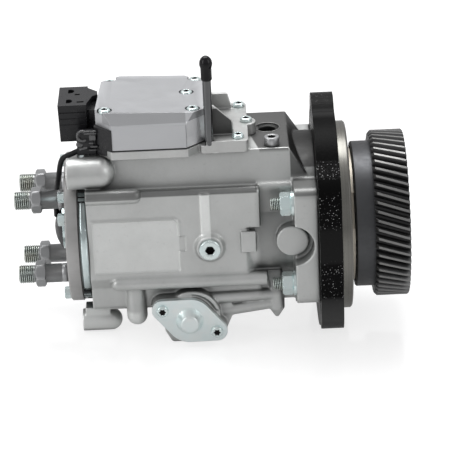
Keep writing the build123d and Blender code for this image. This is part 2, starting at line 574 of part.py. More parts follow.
def head_bolts():
    bolts = []
    for angle in around(4, HEAD_BOLT_FIRST):
        y, z = polar(HEAD_BOLT_PITCH_R, angle)
        bolt = chamfered_hex_x(HEAD_BACK_X - HEAD_BOLT_HEAD_L, HEAD_BACK_X, HEAD_BOLT_HEAD_AF, y, z)
        bolts.append(bolt + rod_x(HEAD_BACK_X, HEAD_BACK_X + HEAD_BOLT_L - 2, HEAD_BOLT_R, y, z))
    return bolts


def sealing_plug():
    y, z = polar(SEAL_PLUG_PITCH_R, SEAL_PLUG_ANGLE)
    plug = chamfered_hex_x(HEAD_BACK_X - 4.6, HEAD_BACK_X, SEAL_PLUG_AF, y, z)
    return plug + rod_x(HEAD_BACK_X, HEAD_BACK_X + 6, SEAL_PLUG_R, y, z)


def delivery_valve_holders():
    holders = []
    for y, z in outlet_places():
        holder = rod_x(HOLDER_HEX_X, HEAD_BACK_X, HOLDER_BODY_R, y, z)
        holder += chamfered_hex_x(HOLDER_COLLAR_X, HOLDER_HEX_X, HOLDER_AF, y, z)
        holder += rod_x(HOLDER_THREAD_X, HOLDER_COLLAR_X, HOLDER_COLLAR_R, y, z)
        holder += rod_x(HOLDER_TIP_X, HOLDER_THREAD_X, HOLDER_THREAD_R, y, z)
        holder += rod_x(HEAD_BACK_X, HEAD_BACK_X + HOLDER_SHANK_L, HOLDER_SHANK_R, y, z)
        holder -= rod_x(HOLDER_TIP_X - 1, HEAD_BACK_X, HOLDER_BORE_R, y, z)
        holder -= cone_x(HOLDER_TIP_X, HOLDER_TIP_X + 5, 5.4, HOLDER_BORE_R, y, z)
        holder -= rod_x(HEAD_BACK_X - 12, HEAD_BACK_X + HOLDER_SHANK_L + 1, HOLDER_CHAMBER_R, y, z)
        holders.append(holder)
    return holders


def delivery_valve_cone(number):
    """A hat-shaped check valve that seats on the floor of its hole in the head."""
    y, z = outlet_places()[number]
    seat_x = HEAD_BACK_X + HOLDER_SHANK_L
    cone = rod_x(seat_x - 7, seat_x - 1.5, HOLDER_CHAMBER_R - RUNNING, y, z)
    cone += cone_x(seat_x - 1.5, seat_x, HOLDER_CHAMBER_R - 0.4, 2.0, y, z)
    cone += rod_x(seat_x - 10, seat_x - 7, 1.6, y, z)
    return cone


def coil_x(x0, x1, radius, wire, turns, y=0.0, z=0.0):
    """A compression spring along X, its wire drawn with WIRE_SIDES flats."""
    height = x1 - x0 - 2 * wire
    path = Pos(x0 + wire, y, z) * Rot(0, 90, 0) * Helix(height / turns, height, radius)
    start = path @ 0
    return sweep(Plane(start, z_dir=path % 0) * RegularPolygon(wire, WIRE_SIDES), path, is_frenet=True)


def delivery_springs():
    springs = []
    for y, z in outlet_places():
        x1 = HEAD_BACK_X + HOLDER_SHANK_L - 7 - VALVE_STROKE - 0.1
        springs.append(coil_x(HEAD_BACK_X - 12, x1, 2.6, 0.45, 5, y, z))
    return springs


# ---- solenoid valve ----
def solenoid_body():
    body = rod_x(SOLENOID_BACK_X, HEAD_BACK_X, SOLENOID_R)
    body += rod_x(HEAD_BACK_X, HEAD_BACK_X + 10, SOLENOID_NECK_R)
    return body - rod_x(HEAD_BACK_X - 3, HEAD_BACK_X + 11, NEEDLE_R + RUNNING)


def solenoid_cap():
    """A shallow black dome."""
    sag = CAP_L
    radius = (SOLENOID_R**2 + sag**2) / (2 * sag)
    ball = Pos(SOLENOID_BACK_X - sag + radius, 0, 0) * Sphere(radius)
    return ball & rod_x(SOLENOID_BACK_X - sag - 1, SOLENOID_BACK_X, SOLENOID_R)


def solenoid_needle():
    return rod_x(HEAD_BACK_X - 2.2, HEAD_BACK_X + 16, NEEDLE_R)


def solenoid_lead():
    """The lead from the grommet round the back of the head into the cap."""
    points = [
        (GROMMET_X[0], GROMMET_Y + 2, GROMMET_Z - 3),
        (-195.5, GROMMET_Y + 2, GROMMET_Z - 3),
        (-200.6, -24.0, 64.0),
        (-203.6, -17.0, 50.0),
        (-206.4, -9.5, 35.0),
        (-208.0, -3.0, 20.0),
        (SOLENOID_BACK_X - 4.4, 0.0, 9.0),
    ]
    line = FilletPolyline(*points, radius=lead_radii(points))
    tube = sweep(Plane(line @ 0, z_dir=line % 0) * Circle(LEAD_R), line)
    return tube - solenoid_cap()


def lead_radii(points):
    """Each bend as large as its two runs allow."""
    radii = []
    for a, b, c in zip(points, points[1:], points[2:]):
        before = Vector(*b) - Vector(*a)
        after = Vector(*c) - Vector(*b)
        turn = radians(before.get_angle(after))
        radii.append(0.45 * min(before.length, after.length) / tan(turn / 2))
    return radii


# ---- drive train ----
def gear_outline(angle):
    """The tooth outline at one station, turned by angle degrees."""
    root = GEAR_TIP_R - TOOTH_H
    pitch = 2 * pi / GEAR_TEETH
    points = []
    for k in range(GEAR_TEETH):
        base = k * pitch + radians(angle)
        for share, r in ((-0.36, root), (-0.13, GEAR_TIP_R), (0.13, GEAR_TIP_R), (0.36, root)):
            a = base + share * pitch
            points.append((r * cos(a), r * sin(a)))
    return points


def drive_gear():
    """Helical teeth on a dished web, with a plain skirt behind and a tapered boss inside."""
    twist = degrees(GEAR_W * tan(radians(HELIX)) / GEAR_TIP_R)
    steps = max(2, round(twist / (90.0 / GEAR_TEETH)))
    stations = []
    for k in range(steps + 1):
        outline = Polyline(*gear_outline(twist * k / steps), close=True)
        stations.append(make_face(Plane.YZ.offset(GEAR_BACK_X + GEAR_W * k / steps) * outline))
    turned = cone_x(GEAR_BACK_X, GEAR_BACK_X + 2, GEAR_TIP_R - 2.0, GEAR_TIP_R + 0.01)
    turned += rod_x(GEAR_BACK_X + 2, GEAR_FRONT_X - 1, GEAR_TIP_R + 0.01)
    turned += cone_x(GEAR_FRONT_X - 1, GEAR_FRONT_X, GEAR_TIP_R + 0.01, GEAR_TIP_R - 1.0)
    gear = loft(stations, ruled=True) & turned
    skirt = rod_x(GEAR_SKIRT_X, GEAR_BACK_X + 0.5, GEAR_HUB_R)
    gear += chamfer(skirt.edges().sort_by(Axis.X)[0], 0.8)
    gear -= rod_x(GEAR_WEB[1], GEAR_FRONT_X + 1, GEAR_DISH_R)
    gear -= rod_x(GEAR_SKIRT_X - 1, GEAR_WEB[0], GEAR_SKIRT_BORE_R)
    gear += rod_x(TAPER_BACK_X, TAPER_FRONT_X, GEAR_BOSS_R)
    gear -= cone_x(TAPER_BACK_X, TAPER_FRONT_X, SHAFT_R, TAPER_FRONT_R)
    return gear - key_slot()


def key_slot():
    x0, x1 = TAPER_BACK_X + 4, TAPER_FRONT_X - 4
    return block((x0, x1), (-KEY_W / 2, KEY_W / 2), (SHAFT_R - KEY_H, SHAFT_R + KEY_H / 2))


def drive_shaft():
    shaft = rod_x(VANE_X[0] - VANE_PLATE_T - 4.0, VANE_X[0] - VANE_PLATE_T - FREE, SHAFT_FLANGE_R)
    shaft += rod_x(VANE_X[0] - VANE_PLATE_T - FREE, TAPER_BACK_X, SHAFT_R)
    shaft += cone_x(TAPER_BACK_X, TAPER_FRONT_X, SHAFT_R, TAPER_FRONT_R)
    shaft += rod_x(TAPER_FRONT_X, SHAFT_END_X, SHAFT_THREAD_R)
    shaft -= key_slot()
    shaft -= vane_key_slot()
    return shaft


def gear_washer():
    return tube_x(TAPER_FRONT_X, TAPER_FRONT_X + GEAR_WASHER_T, GEAR_WASHER_R, SHAFT_THREAD_R)


def gear_nut():
    x0 = TAPER_FRONT_X + GEAR_WASHER_T
    nut = chamfered_hex_x(x0, x0 + GEAR_NUT_T, GEAR_NUT_AF)
    return nut - rod_x(x0 - 1, x0 + GEAR_NUT_T + 1, SHAFT_THREAD_R)


def shaft_bushes():
    return [tube_x(x0, x1, BUSH_R, SHAFT_R + RUNNING) for x0, x1 in BUSHES]


def shaft_seal():
    seal = tube_x(SEAL_X[0], SEAL_X[1], SEAL_R, SHAFT_R + RUNNING)
    return seal - tube_x(SEAL_X[0] + 2, SEAL_X[1] + 1, SEAL_R - 2, SHAFT_R + 2.5)


# ---- vane pump ----
def vane_key_slot():
    return block((VANE_X[0] + 4, VANE_X[1] - 4), (-2, 2), (SHAFT_R - 2, SHAFT_R + 1.5))


def vane_pump_ring():
    ring = rod_x(VANE_X[0], VANE_X[1], CAM_BORE_R - SEAT)
    return ring - rod_x(VANE_X[0] - 1, VANE_X[1] + 1, VANE_RING_BORE_R, 0, VANE_RING_OFFSET)


def vane_places():
    return around(VANES, 45.0)


def vane_pump_rotor():
    rotor = tube_x(VANE_X[0] + FREE, VANE_X[1] - FREE, VANE_ROTOR_R, SHAFT_R)
    for angle in vane_places():
        slot = block((VANE_X[0], VANE_X[1]), (-VANE_T / 2, VANE_T / 2), (VANE_ROOT_R, VANE_TIP_R + 2))
        rotor -= Rot(angle, 0, 0) * slot
    return rotor - vane_key_slot()


def pump_vanes():
    vanes = []
    for angle in vane_places():
        xs = (VANE_X[0] + FREE, VANE_X[1] - FREE)
        vane = block(xs, (-VANE_T / 2, VANE_T / 2), (VANE_ROOT_R, VANE_TIP_R))
        vanes.append(Rot(angle, 0, 0) * vane)
    return vanes


def vane_pump_plate():
    return tube_x(VANE_X[0] - VANE_PLATE_T, VANE_X[0], CAM_BORE_R - SEAT, VANE_PLATE_BORE_R)


# ---- high-pressure pump ----
def cam_ring():
    half = CAM_W / 2
    ring = rod_x(TIMING_X - half, TIMING_X + half, CAM_BORE_R - RUNNING)
    hole = Plane((TIMING_X - half - 1, 0, 0), x_dir=(0, 1, 0), z_dir=(1, 0, 0))
    hole *= RectangleRounded(2 * CAM_FLAT, 2 * CAM_FLAT, CAM_CORNER_R)
    ring -= extrude(hole, CAM_W + 2)
    pin_hole = rod_z(-CAM_BORE_R - 1, -CAM_BORE_R + TIMING_PIN_DEPTH, TIMING_PIN_R, TIMING_X, 0)
    return ring - Rot(-TIMING_ADVANCE / 2, 0, 0) * pin_hole


def timing_pin():
    pin = rod_z(TIMING_Z - 4, -CAM_BORE_R + TIMING_PIN_DEPTH, TIMING_PIN_R, TIMING_X, 0)
    return Rot(-TIMING_ADVANCE / 2, 0, 0) * pin


def timing_rest_y():
    """Where the pin's axis crosses the piston's axis at rest."""
    return TIMING_Z * tan(radians(TIMING_ADVANCE / 2))


def timing_piston():
    middle = timing_rest_y()
    piston = rod_y(middle - 26, middle + 26, TIMING_BORE_R - RUNNING, TIMING_X, TIMING_Z)
    slot = (middle - 6.4, middle + 6.4)
    piston -= block((TIMING_X - 6.5, TIMING_X + 6.5), slot, (TIMING_Z - 6, TIMING_Z + TIMING_BORE_R + 1))
    return piston - rod_y(middle + 14, middle + 27, 9.0, TIMING_X, TIMING_Z)


def timing_spring():
    """The return spring, in the piston's far end and against the far cover."""
    start = timing_rest_y() + 14 + 12.4
    coil = coil_x(start, COVER_Y, 6.5, 1.2, 5)
    return Pos(TIMING_X, 0, TIMING_Z) * Rot(0, 0, 90) * coil


def plunger_carrier_slots():
    slots = []
    for angle in around(4):
        slots.append(Rot(angle, 0, 0) * block(CARRIER_X, (-5, 5), (17.0, CARRIER_R + 1)))
    return slots


def distributor_rotor():
    rotor = rod_x(HEAD_BACK_X + 12, CARRIER_X[0], ROTOR_R)
    rotor += rod_x(CARRIER_X[0], CARRIER_X[1], CARRIER_R)
    rotor += rod_x(CARRIER_X[1], VANE_X[0] - VANE_PLATE_T - 4.0, 12.0)
    rotor -= rod_x(HEAD_BACK_X + 11, HEAD_BACK_X + 20, NEEDLE_R + 0.5)
    for slot in plunger_carrier_slots():
        rotor -= slot
    for angle in around(4):
        rotor -= Rot(angle, 0, 0) * rod_z(4.0, 18.0, PLUNGER_R + RUNNING, TIMING_X, 0)
    return rotor


def plungers():
    rods = []
    for angle in around(4):
        rods.append(Rot(angle, 0, 0) * rod_z(6.0, 17.4, PLUNGER_R, TIMING_X, 0))
    return rods


def roller_shoes():
    shoes = []
    for angle in around(4):
        xs = (CARRIER_X[0] + 0.2, CARRIER_X[1] - 0.2)
        shoe = block(xs, (-5 + RUNNING, 5 - RUNNING), (17.4, ROLLER_PITCH_R + 1.0))
        shoe -= rod_x(CARRIER_X[0], CARRIER_X[1], ROLLER_R + RUNNING, 0, ROLLER_PITCH_R)
        shoes.append(Rot(angle, 0, 0) * shoe)
    return shoes


def cam_rollers():
    rollers = []
    for angle in around(4):
        roller = rod_x(CARRIER_X[0] + 0.4, CARRIER_X[1] - 0.4, ROLLER_R, 0, ROLLER_PITCH_R)
        rollers.append(Rot(angle, 0, 0) * roller)
    return rollers


def speed_wheel():
    x0 = CARRIER_X[1] + 1.4
    wheel = tube_x(x0, x0 + SPEED_WHEEL_T, SPEED_WHEEL_R, 12.0)
    for angle in around(SPEED_TEETH):
        gap = block((x0 - 1, x0 + SPEED_WHEEL_T + 1), (-1.3, 1.3), (SPEED_WHEEL_R - 2.5, SPEED_WHEEL_R + 1))
        wheel -= Rot(angle, 0, 0) * gap
    return wheel


def speed_sensor():
    x0 = TIMING_X + CAM_W / 2
    return block((x0, x0 + 4.6), (-6, 6), (SPEED_WHEEL_R + 0.8, 35.4))


# ---- timing covers ----
def timing_cover():
    cover = cover_slab(-COVER_Y - COVER_T, -COVER_Y)
    dome = Pos(TIMING_X, -COVER_Y - COVER_T, TIMING_Z) * Rot(90, 0, 0)
    dome *= Cone(DOME_R, DOME_TOP_R, DOME_H, align=UPRIGHT)
    cover += fillet(dome.edges().filter_by(GeomType.CIRCLE).sort_by(Axis.Y)[0], 2.0)
    for x, z in cover_screw_places():
        cover -= rod_y(-COVER_Y - COVER_T - 1, -COVER_Y + 1, COVER_SCREW_R + 0.2, x, z)
    return cover


def far_timing_cover():
    cover = cover_slab(COVER_Y, COVER_Y + COVER_T)
    for x, z in cover_screw_places():
        cover -= rod_y(COVER_Y - 1, COVER_Y + COVER_T + 1, COVER_SCREW_R + 0.2, x, z)
    return cover


def timing_cover_screws(side):
    screws = []
    for x, z in cover_screw_places():
        face = COVER_Y + COVER_T
        head = sorted((side * face, side * (face + COVER_SCREW_HEAD_L)))
        shank = sorted((side * face, side * (face - COVER_SCREW_L + 1)))
        screw = rod_y(head[0], head[1], COVER_SCREW_HEAD_R, x, z)
        edge = screw.edges().sort_by(Axis.Y)[0 if side < 0 else -1]
        screw = fillet(edge, 1.0)
        socket = sorted((side * (face + 1.4), side * (face + COVER_SCREW_HEAD_L + 1)))
        screw -= rod_y(socket[0], socket[1], 2.2, x, z)
        screws.append(screw + rod_y(shank[0], shank[1], COVER_SCREW_R, x, z))
    return screws


# ---- studs ----
def mounting_studs():
    return [rod_x(STUD_BACK_X, STUD_FRONT_X, STUD_R, y, z) for y, z in stud_places()]


def stud_washers():
    washers = []
    for y, z in stud_places():
        washer = rod_x(FLANGE_BACK_X - WASHER_T, FLANGE_BACK_X, WASHER_R, y, z)
        washers.append(washer - rod_x(STUD_BACK_X, 0, STUD_R + 0.1, y, z))
    return washers


def stud_nuts():
    nuts = []
    x1 = FLANGE_BACK_X - WASHER_T
    for y, z in stud_places():
        nut = chamfered_hex_x(x1 - NUT_T, x1, NUT_AF, y, z)
        nuts.append(nut - rod_x(STUD_BACK_X, 0, STUD_R, y, z))
    return nuts


# ---- plugs ----
def side_plug():
    face = -SIDE_Y - PLUG_BOSS_T
    plug = rod_y(face - PLUG_HEAD_L, face, PLUG_HEAD_R, PLUG_X, PLUG_Z)
    plug = chamfer(plug.edges().sort_by(Axis.Y)[0], 0.8)
    plug += rod_y(face, face + PLUG_SHANK_L, PLUG_SHANK_R, PLUG_X, PLUG_Z)
    socket = Plane((PLUG_X, face - PLUG_HEAD_L - 1, PLUG_Z), x_dir=(1, 0, 0), z_dir=(0, 1, 0))
    socket *= RegularPolygon(PLUG_SOCKET_AF / sqrt(3), 6)
    return plug - extrude(socket, PLUG_SOCKET_DEPTH + 1)


def bleed_screw():
    screw = rod_z(TOP_Z, TOP_Z + BLEED_HEAD_L, BLEED_HEAD_R, BLEED_X, BLEED_Y)
    screw = chamfer(screw.edges().sort_by(Axis.Z)[-1], 0.6)
    screw += rod_z(TOP_Z - 11, TOP_Z, BLEED_R, BLEED_X, BLEED_Y)
    socket = Plane((BLEED_X, BLEED_Y, TOP_Z + 2.5), z_dir=(0, 0, 1)) * RegularPolygon(5 / sqrt(3), 6)
    return screw - extrude(socket, 10)


# ---- control unit ----
def unit_outline(grow=0.0):
    """The control unit's plan, with its corners cut and its back end slightly tapered."""
    x0, x1 = UNIT_X[0] - grow, UNIT_X[1] + grow
    y0, y1 = UNIT_Y[0] - grow, UNIT_Y[1] + grow
    cut = UNIT_CUT
    return [
        (x0 + cut - 2, y0),
        (x1 - cut, y0),
        (x1, y0 + cut),
        (x1, y1 - cut),
        (x1 - cut, y1),
        (x0 + UNIT_TAPER + cut, y1),
        (x0 + UNIT_TAPER, y1 - cut + 2),
        (x0, y0 + cut),
    ]


def unit_back_x(y):
    """Where the control unit's back wall stands at y."""
    near, far = unit_outline()[-1], unit_outline()[-2]
    return near[0] + (far[0] - near[0]) * (y - near[1]) / (far[1] - near[1])


def unit_ears(z0, z1, r):
    ears = [rod_z(z0, z1, r, x, y) for x, y in UNIT_SCREWS[3:]]
    return ears[0] + ears[1]


def control_unit_base():
    base = prism_z(TOP_Z, UNIT_SEAM_Z, unit_outline(1.0)) + unit_ears(TOP_Z, UNIT_SEAM_Z, 6.5)
    ledge = [(UNIT_X[1] - 4, LEDGE_Y[0]), (LEDGE_FRONT_X, LEDGE_Y[0]), (LEDGE_FRONT_X, LEDGE_Y[1])]
    ledge += [(UNIT_X[1] - 4, LEDGE_Y[1])]
    right = prism_z(TOP_Z, LEDGE_TOP_Z, ledge, 3.0)
    right += rod_z(TOP_Z, LEDGE_TOP_Z, 7.0, *LEDGE_SCREWS[1])
    right -= block((UNIT_X[0], UNIT_X[1] + 1.0), (-60, 60), (UNIT_SEAM_Z, LEDGE_TOP_Z + 1))
    right -= prism_z(UNIT_SEAM_Z, LEDGE_TOP_Z + 1, unit_outline(1.0))
    base += right
    wall_x = UNIT_X[1] + 1.2
    base += block((wall_x, wall_x + 3.4), (-30.5, 30), (LEDGE_TOP_Z, 99.0))
    for y, points in GUSSETS:
        rib = [(wall_x + 3, LEDGE_TOP_Z), (GUSSET_FOOT_X, LEDGE_TOP_Z), *points, (wall_x + 3, points[-1][1])]
        base += prism_y(y - GUSSET_T / 2, y + GUSSET_T / 2, rib)
    base -= rod_z(LEDGE_TOP_Z - 3, LEDGE_TOP_Z + 1, PIPE_R + RUNNING, PIPE_X, PIPE_Y)
    for x, y in UNIT_SCREWS:
        base -= rod_z(TOP_Z + 1, UNIT_SEAM_Z + 1, UNIT_SCREW_R, x, y)
    for x, y in LEDGE_SCREWS:
        base -= rod_z(TOP_Z - 1, LEDGE_TOP_Z + 1, UNIT_SCREW_R + 0.2, x, y)
    return base


def control_unit_gasket():
    gasket = prism_z(UNIT_SEAM_Z, COVER_BOTTOM_Z, unit_outline(-0.6))
    gasket += unit_ears(UNIT_SEAM_Z, COVER_BOTTOM_Z, 5.5)
    gasket -= unit_cavity(UNIT_SEAM_Z - 1, COVER_BOTTOM_Z + 1)
    for x, y in UNIT_SCREWS:
        gasket -= rod_z(UNIT_SEAM_Z - 1, COVER_BOTTOM_Z + 1, UNIT_SCREW_R + 0.2, x, y)
    return gasket


def unit_cavity(z0, z1):
    """The hollow inside the wall, with a boss left round each screw and a web from the middle one."""
    cavity = prism_z(z0, z1, unit_outline(-UNIT_WALL))
    for x, y in UNIT_SCREWS:
        cavity -= rod_z(z0 - 1, z1 + 1, UNIT_BOSS_R, x, y)
    x, y = UNIT_SCREWS[2]
    return cavity - block((x, UNIT_X[1]), (y - UNIT_BOSS_R / 2, y + UNIT_BOSS_R / 2), (z0 - 1, z1 + 1))


def unit_top_z(x):
    """Height of the cover's sloping top at x."""
    share = (x - UNIT_X[0]) / (UNIT_X[1] - UNIT_X[0])
    return COVER_BACK_TOP_Z + share * (COVER_FRONT_TOP_Z - COVER_BACK_TOP_Z)


def control_unit_cover():
    high = COVER_BACK_TOP_Z + 4
    cover = prism_z(COVER_BOTTOM_Z, high, unit_outline()) + unit_ears(COVER_BOTTOM_Z, 99.0, 6.2)
    x0, x1 = UNIT_X[0] - 5, UNIT_X[1] + 12
    above = [(x0, unit_top_z(x0)), (x1, unit_top_z(x1)), (x1, high + 1), (x0, high + 1)]
    cover -= prism_y(-60, 60, above)
    bevel = []
    for x in (x0, x1):
        z = unit_top_z(x)
        points = [(UNIT_Y[0] - 1, z - UNIT_BEVEL_Z * 7 / 6), (UNIT_Y[0] - 1, z + UNIT_BEVEL_Z / 6)]
        points += [(UNIT_Y[0] + UNIT_BEVEL_Y * 7 / 6, z + UNIT_BEVEL_Z / 6)]
        bevel.append(Plane.YZ.offset(x) * make_face(Polyline(*points, close=True)))
    cover -= loft(bevel, ruled=True)
    cover -= unit_cavity(COVER_BOTTOM_Z - 1, 92.0)
    for x, y in UNIT_SCREWS:
        seat = screw_seat_z(x, y)
        cover -= rod_z(COVER_BOTTOM_Z - 1, seat + 1, UNIT_SCREW_R + 0.2, x, y)
        cover -= rod_z(seat, high, UNIT_SCREW_HEAD_R + 1.0, x, y)
    return cover


def screw_seat_z(x, y):
    """Spot faces lie just under the sloping top, and lower on the two ears."""
    if y > 20:
        return 99.0
    return unit_top_z(x) - 1.8


def pan_screw_z(x, y, seat, bottom):
    """A pan-head screw standing on its seat."""
    head = rod_z(seat, seat + UNIT_SCREW_HEAD_L, UNIT_SCREW_HEAD_R, x, y)
    head = fillet(head.edges().sort_by(Axis.Z)[-1], 1.1)
    head -= rod_z(seat + 1.2, seat + UNIT_SCREW_HEAD_L + 1, 2.1, x, y)
    return head + rod_z(bottom, seat, UNIT_SCREW_R, x, y)


def control_unit_screws():
    return [pan_screw_z(x, y, screw_seat_z(x, y), TOP_Z + 2) for x, y in UNIT_SCREWS]


def base_screws():
    return [pan_screw_z(x, y, LEDGE_TOP_Z, TOP_Z - 9) for x, y in LEDGE_SCREWS]


def circuit_board():
    """The board on four posts, with its larger chips."""
    under = COVER_BOTTOM_Z + BOARD_LIFT
    board = block(BOARD_X, BOARD_Y, (under, under + BOARD_T))
    for x in (BOARD_X[0] + BOARD_POST_INSET, BOARD_X[1] - BOARD_POST_INSET):
        for y in (BOARD_Y[0] + BOARD_POST_INSET, BOARD_Y[1] - BOARD_POST_INSET):
            board += rod_z(UNIT_SEAM_Z, under + BOARD_T / 2, BOARD_POST_R, x, y)
    for x, y, w in CHIPS:
        x, y = BOARD_X[0] + x, BOARD_Y[0] + y
        board += block((x, x + w), (y, y + w), (under + BOARD_T - 0.1, under + BOARD_T + CHIP_H))
    return board


# ---- vent pipe ----
def vent_pipe():
    pipe = rod_z(LEDGE_TOP_Z - 3, PIPE_TOP_Z, PIPE_R, PIPE_X, PIPE_Y)
    return pipe - rod_z(LEDGE_TOP_Z, PIPE_TOP_Z + 1, PIPE_R - 1, PIPE_X, PIPE_Y)


def pipe_cap():
    waist = PIPE_CAP_TOP_Z - 7.5
    cap = rod_z(PIPE_CAP_BOTTOM_Z, waist, PIPE_CAP_R - 0.5, PIPE_X, PIPE_Y)
    ball_z = PIPE_CAP_TOP_Z - PIPE_CAP_R
    cap += rod_z(waist, ball_z, PIPE_CAP_R, PIPE_X, PIPE_Y) + Pos(PIPE_X, PIPE_Y, ball_z) * Sphere(PIPE_CAP_R)
    return cap - rod_z(PIPE_CAP_BOTTOM_Z - 1, PIPE_TOP_Z, PIPE_R, PIPE_X, PIPE_Y)


# ---- connector ----
def connector_shell():
    """The block with its socket at the far (+Y) end."""
    x0, x1 = PLUG_BLOCK_X
    z0, z1 = PLUG_BLOCK_Z
    outline = [(x0 + 0.6, z0), (x0 + 13.0, z0), (x1, z0 + 10), (x1 + 0.5, z1), (x0, z1)]
    shell = prism_y(PLUG_BLOCK_Y[0], PLUG_BLOCK_Y[1], outline)
    neck_y = (PLUG_BLOCK_Y[0] + 2, PLUG_BLOCK_Y[1] - 7)
    neck = [(x1 - 1, neck_y[0] + 2), (unit_back_x(neck_y[0]), neck_y[0])]
    neck += [(unit_back_x(neck_y[1]), neck_y[1]), (x1 - 1, neck_y[1] + 4)]
    shell += prism_z(PLUG_NECK_Z[0], PLUG_NECK_Z[1], neck)
    shell -= block((x0 + 3, x1 - 3), (PLUG_BLOCK_Y[1] - 24, PLUG_BLOCK_Y[1] + 1), (z0 + 12, z1 - 3))
    return shell


def connector_pins():
    pins = []
    for row in range(3):
        for column in range(3):
            x = PLUG_BLOCK_X[0] + 6 + 4.0 * column
            z = PLUG_BLOCK_Z[0] + 15.0 + 3.6 * row
            pins.append(block((x, x + 0.8), (PLUG_BLOCK_Y[1] - 24, PLUG_BLOCK_Y[1] - 12), (z, z + 0.8)))
    return pins


def connector_flange():
    """The plate that covers the cut corner of the control unit."""
    x0, y0 = UNIT_X[0], UNIT_Y[0]
    inner = [(x0 + UNIT_CUT - 2, y0), (x0, y0 + UNIT_CUT)]
    outer = [(x0 - CORNER_PLATE_T, y0 + UNIT_CUT), (x0 - CORNER_PLATE_T, y0 + UNIT_CUT - 4.5)]
    plan = [(x0 + UNIT_CUT - 2, y0 - 0.5), *inner, *outer]
    plate = prism_z(CORNER_PLATE_Z[0], CORNER_PLATE_Z[1], plan)
    return plate - prism_z(TOP_Z, UNIT_SEAM_Z, unit_outline(1.0))


def lead_grommet():
    grommet = rod_x(GROMMET_X[0], GROMMET_X[1], GROMMET_R, GROMMET_Y, GROMMET_Z)
    for x in (-184.5, -181.0, -177.5):
        grommet -= tube_x(0, 1.4, GROMMET_R + 1, GROMMET_R - 1.2).moved(Location((x, GROMMET_Y, GROMMET_Z)))
    return grommet


NODES = {
    "adapter_plate": adapter_plate,
    "pilot_ring": pilot_ring,
    "seal_retainer": seal_retainer,
    "pump_housing": pump_housing,
    "joint_band": lambda: [joint_band()] + band_clips(),
    "distributor_head": distributor_head,
    "head_seal_ring": lambda: seal_ring(-170, HEAD_BORE_R - SEAT - 1.55, 1.5),
    "nose_seal_ring": lambda: seal_ring(-PLATE_T + NOSE_L / 2, NOSE_R - 1.5, 1.45),
    "head_bolts": head_bolts,
    "sealing_plug": sealing_plug,
    "delivery_valve_holders": delivery_valve_holders,
    "delivery_springs": delivery_springs,
    "solenoid_body": solenoid_body,
    "solenoid_cap": solenoid_cap,
    "solenoid_needle": solenoid_needle,
    "solenoid_lead": solenoid_lead,
    "drive_gear": drive_gear,
    "drive_keys": lambda: [key_slot(), vane_key_slot()],
    "gear_washer": gear_washer,
    "gear_nut": gear_nut,
    "drive_shaft": drive_shaft,
    "shaft_bushes": shaft_bushes,
    "shaft_seal": shaft_seal,
    "vane_pump_ring": vane_pump_ring,
    "vane_pump_rotor": vane_pump_rotor,
    "pump_vanes": pump_vanes,
    "vane_pump_plate": vane_pump_plate,
    "cam_ring": cam_ring,
    "timing_pin": timing_pin,
    "timing_piston": timing_piston,
    "timing_spring": timing_spring,
    "distributor_rotor": distributor_rotor,
    "plungers": plungers,
    "roller_shoes": roller_shoes,
    "cam_rollers": cam_rollers,
    "speed_wheel": speed_wheel,
    "speed_sensor": speed_sensor,
    "timing_cover": timing_cover,
    "timing_cover_screws": lambda: timing_cover_screws(-1) + timing_cover_screws(1),
    "far_timing_cover": far_timing_cover,
    "mounting_studs": mounting_studs,
    "stud_washers": stud_washers,
    "stud_nuts": stud_nuts,
    "side_plug": side_plug,
    "bleed_screw": bleed_screw,
    "control_unit_base": control_unit_base,
    "control_unit_gasket": control_unit_gasket,
    "control_unit_cover": control_unit_cover,
    "control_unit_screws": lambda: control_unit_screws() + base_screws(),
    "circuit_board": circuit_board,
    "vent_pipe": vent_pipe,
    "pipe_cap": pipe_cap,
    "connector_shell": connector_shell,
    "connector_pins": connector_pins,
    "connector_flange": connector_flange,
    "lead_grommet": lead_grommet,
}
for index in range(OUTLETS):
    NODES[f"delivery_valve_cone_{index + 1}"] = lambda index=index: delivery_valve_cone(index)


def save(name, shape):
    """One node's STEP; a list becomes a group of separate solids."""
    if isinstance(shape, list):
        shape = Compound(children=[s if isinstance(s, Solid) else s.solid() for s in shape])
    export_step(shape, f"parts/{name}.step")


os.makedirs("parts", exist_ok=True)
for node, make in NODES.items():
    save(node, make())
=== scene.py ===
"""The looks of the diesel injection pump: castings, plated fasteners, threads, plastics and studio.

Metres, in the model's frame: +X along the shaft towards the gear, +Y away from the camera, +Z up.
"""
import json
import math

import bmesh
import bpy
from mathutils import Matrix, Quaternion, Vector

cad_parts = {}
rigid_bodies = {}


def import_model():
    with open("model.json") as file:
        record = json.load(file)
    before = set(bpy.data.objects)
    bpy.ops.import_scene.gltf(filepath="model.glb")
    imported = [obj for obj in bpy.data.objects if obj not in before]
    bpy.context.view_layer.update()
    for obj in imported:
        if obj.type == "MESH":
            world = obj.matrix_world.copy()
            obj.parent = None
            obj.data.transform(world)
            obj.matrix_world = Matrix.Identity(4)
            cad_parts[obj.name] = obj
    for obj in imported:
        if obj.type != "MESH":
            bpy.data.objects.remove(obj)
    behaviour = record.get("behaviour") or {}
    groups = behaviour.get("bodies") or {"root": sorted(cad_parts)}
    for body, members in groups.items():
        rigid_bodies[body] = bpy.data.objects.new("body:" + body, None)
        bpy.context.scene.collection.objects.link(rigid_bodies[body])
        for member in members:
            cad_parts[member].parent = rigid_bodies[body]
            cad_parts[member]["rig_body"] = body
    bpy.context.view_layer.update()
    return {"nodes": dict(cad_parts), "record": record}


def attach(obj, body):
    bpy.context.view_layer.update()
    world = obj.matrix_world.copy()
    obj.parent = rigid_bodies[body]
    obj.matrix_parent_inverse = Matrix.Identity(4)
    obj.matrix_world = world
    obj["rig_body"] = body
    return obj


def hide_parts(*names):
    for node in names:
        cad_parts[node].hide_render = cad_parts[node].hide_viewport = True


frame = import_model()
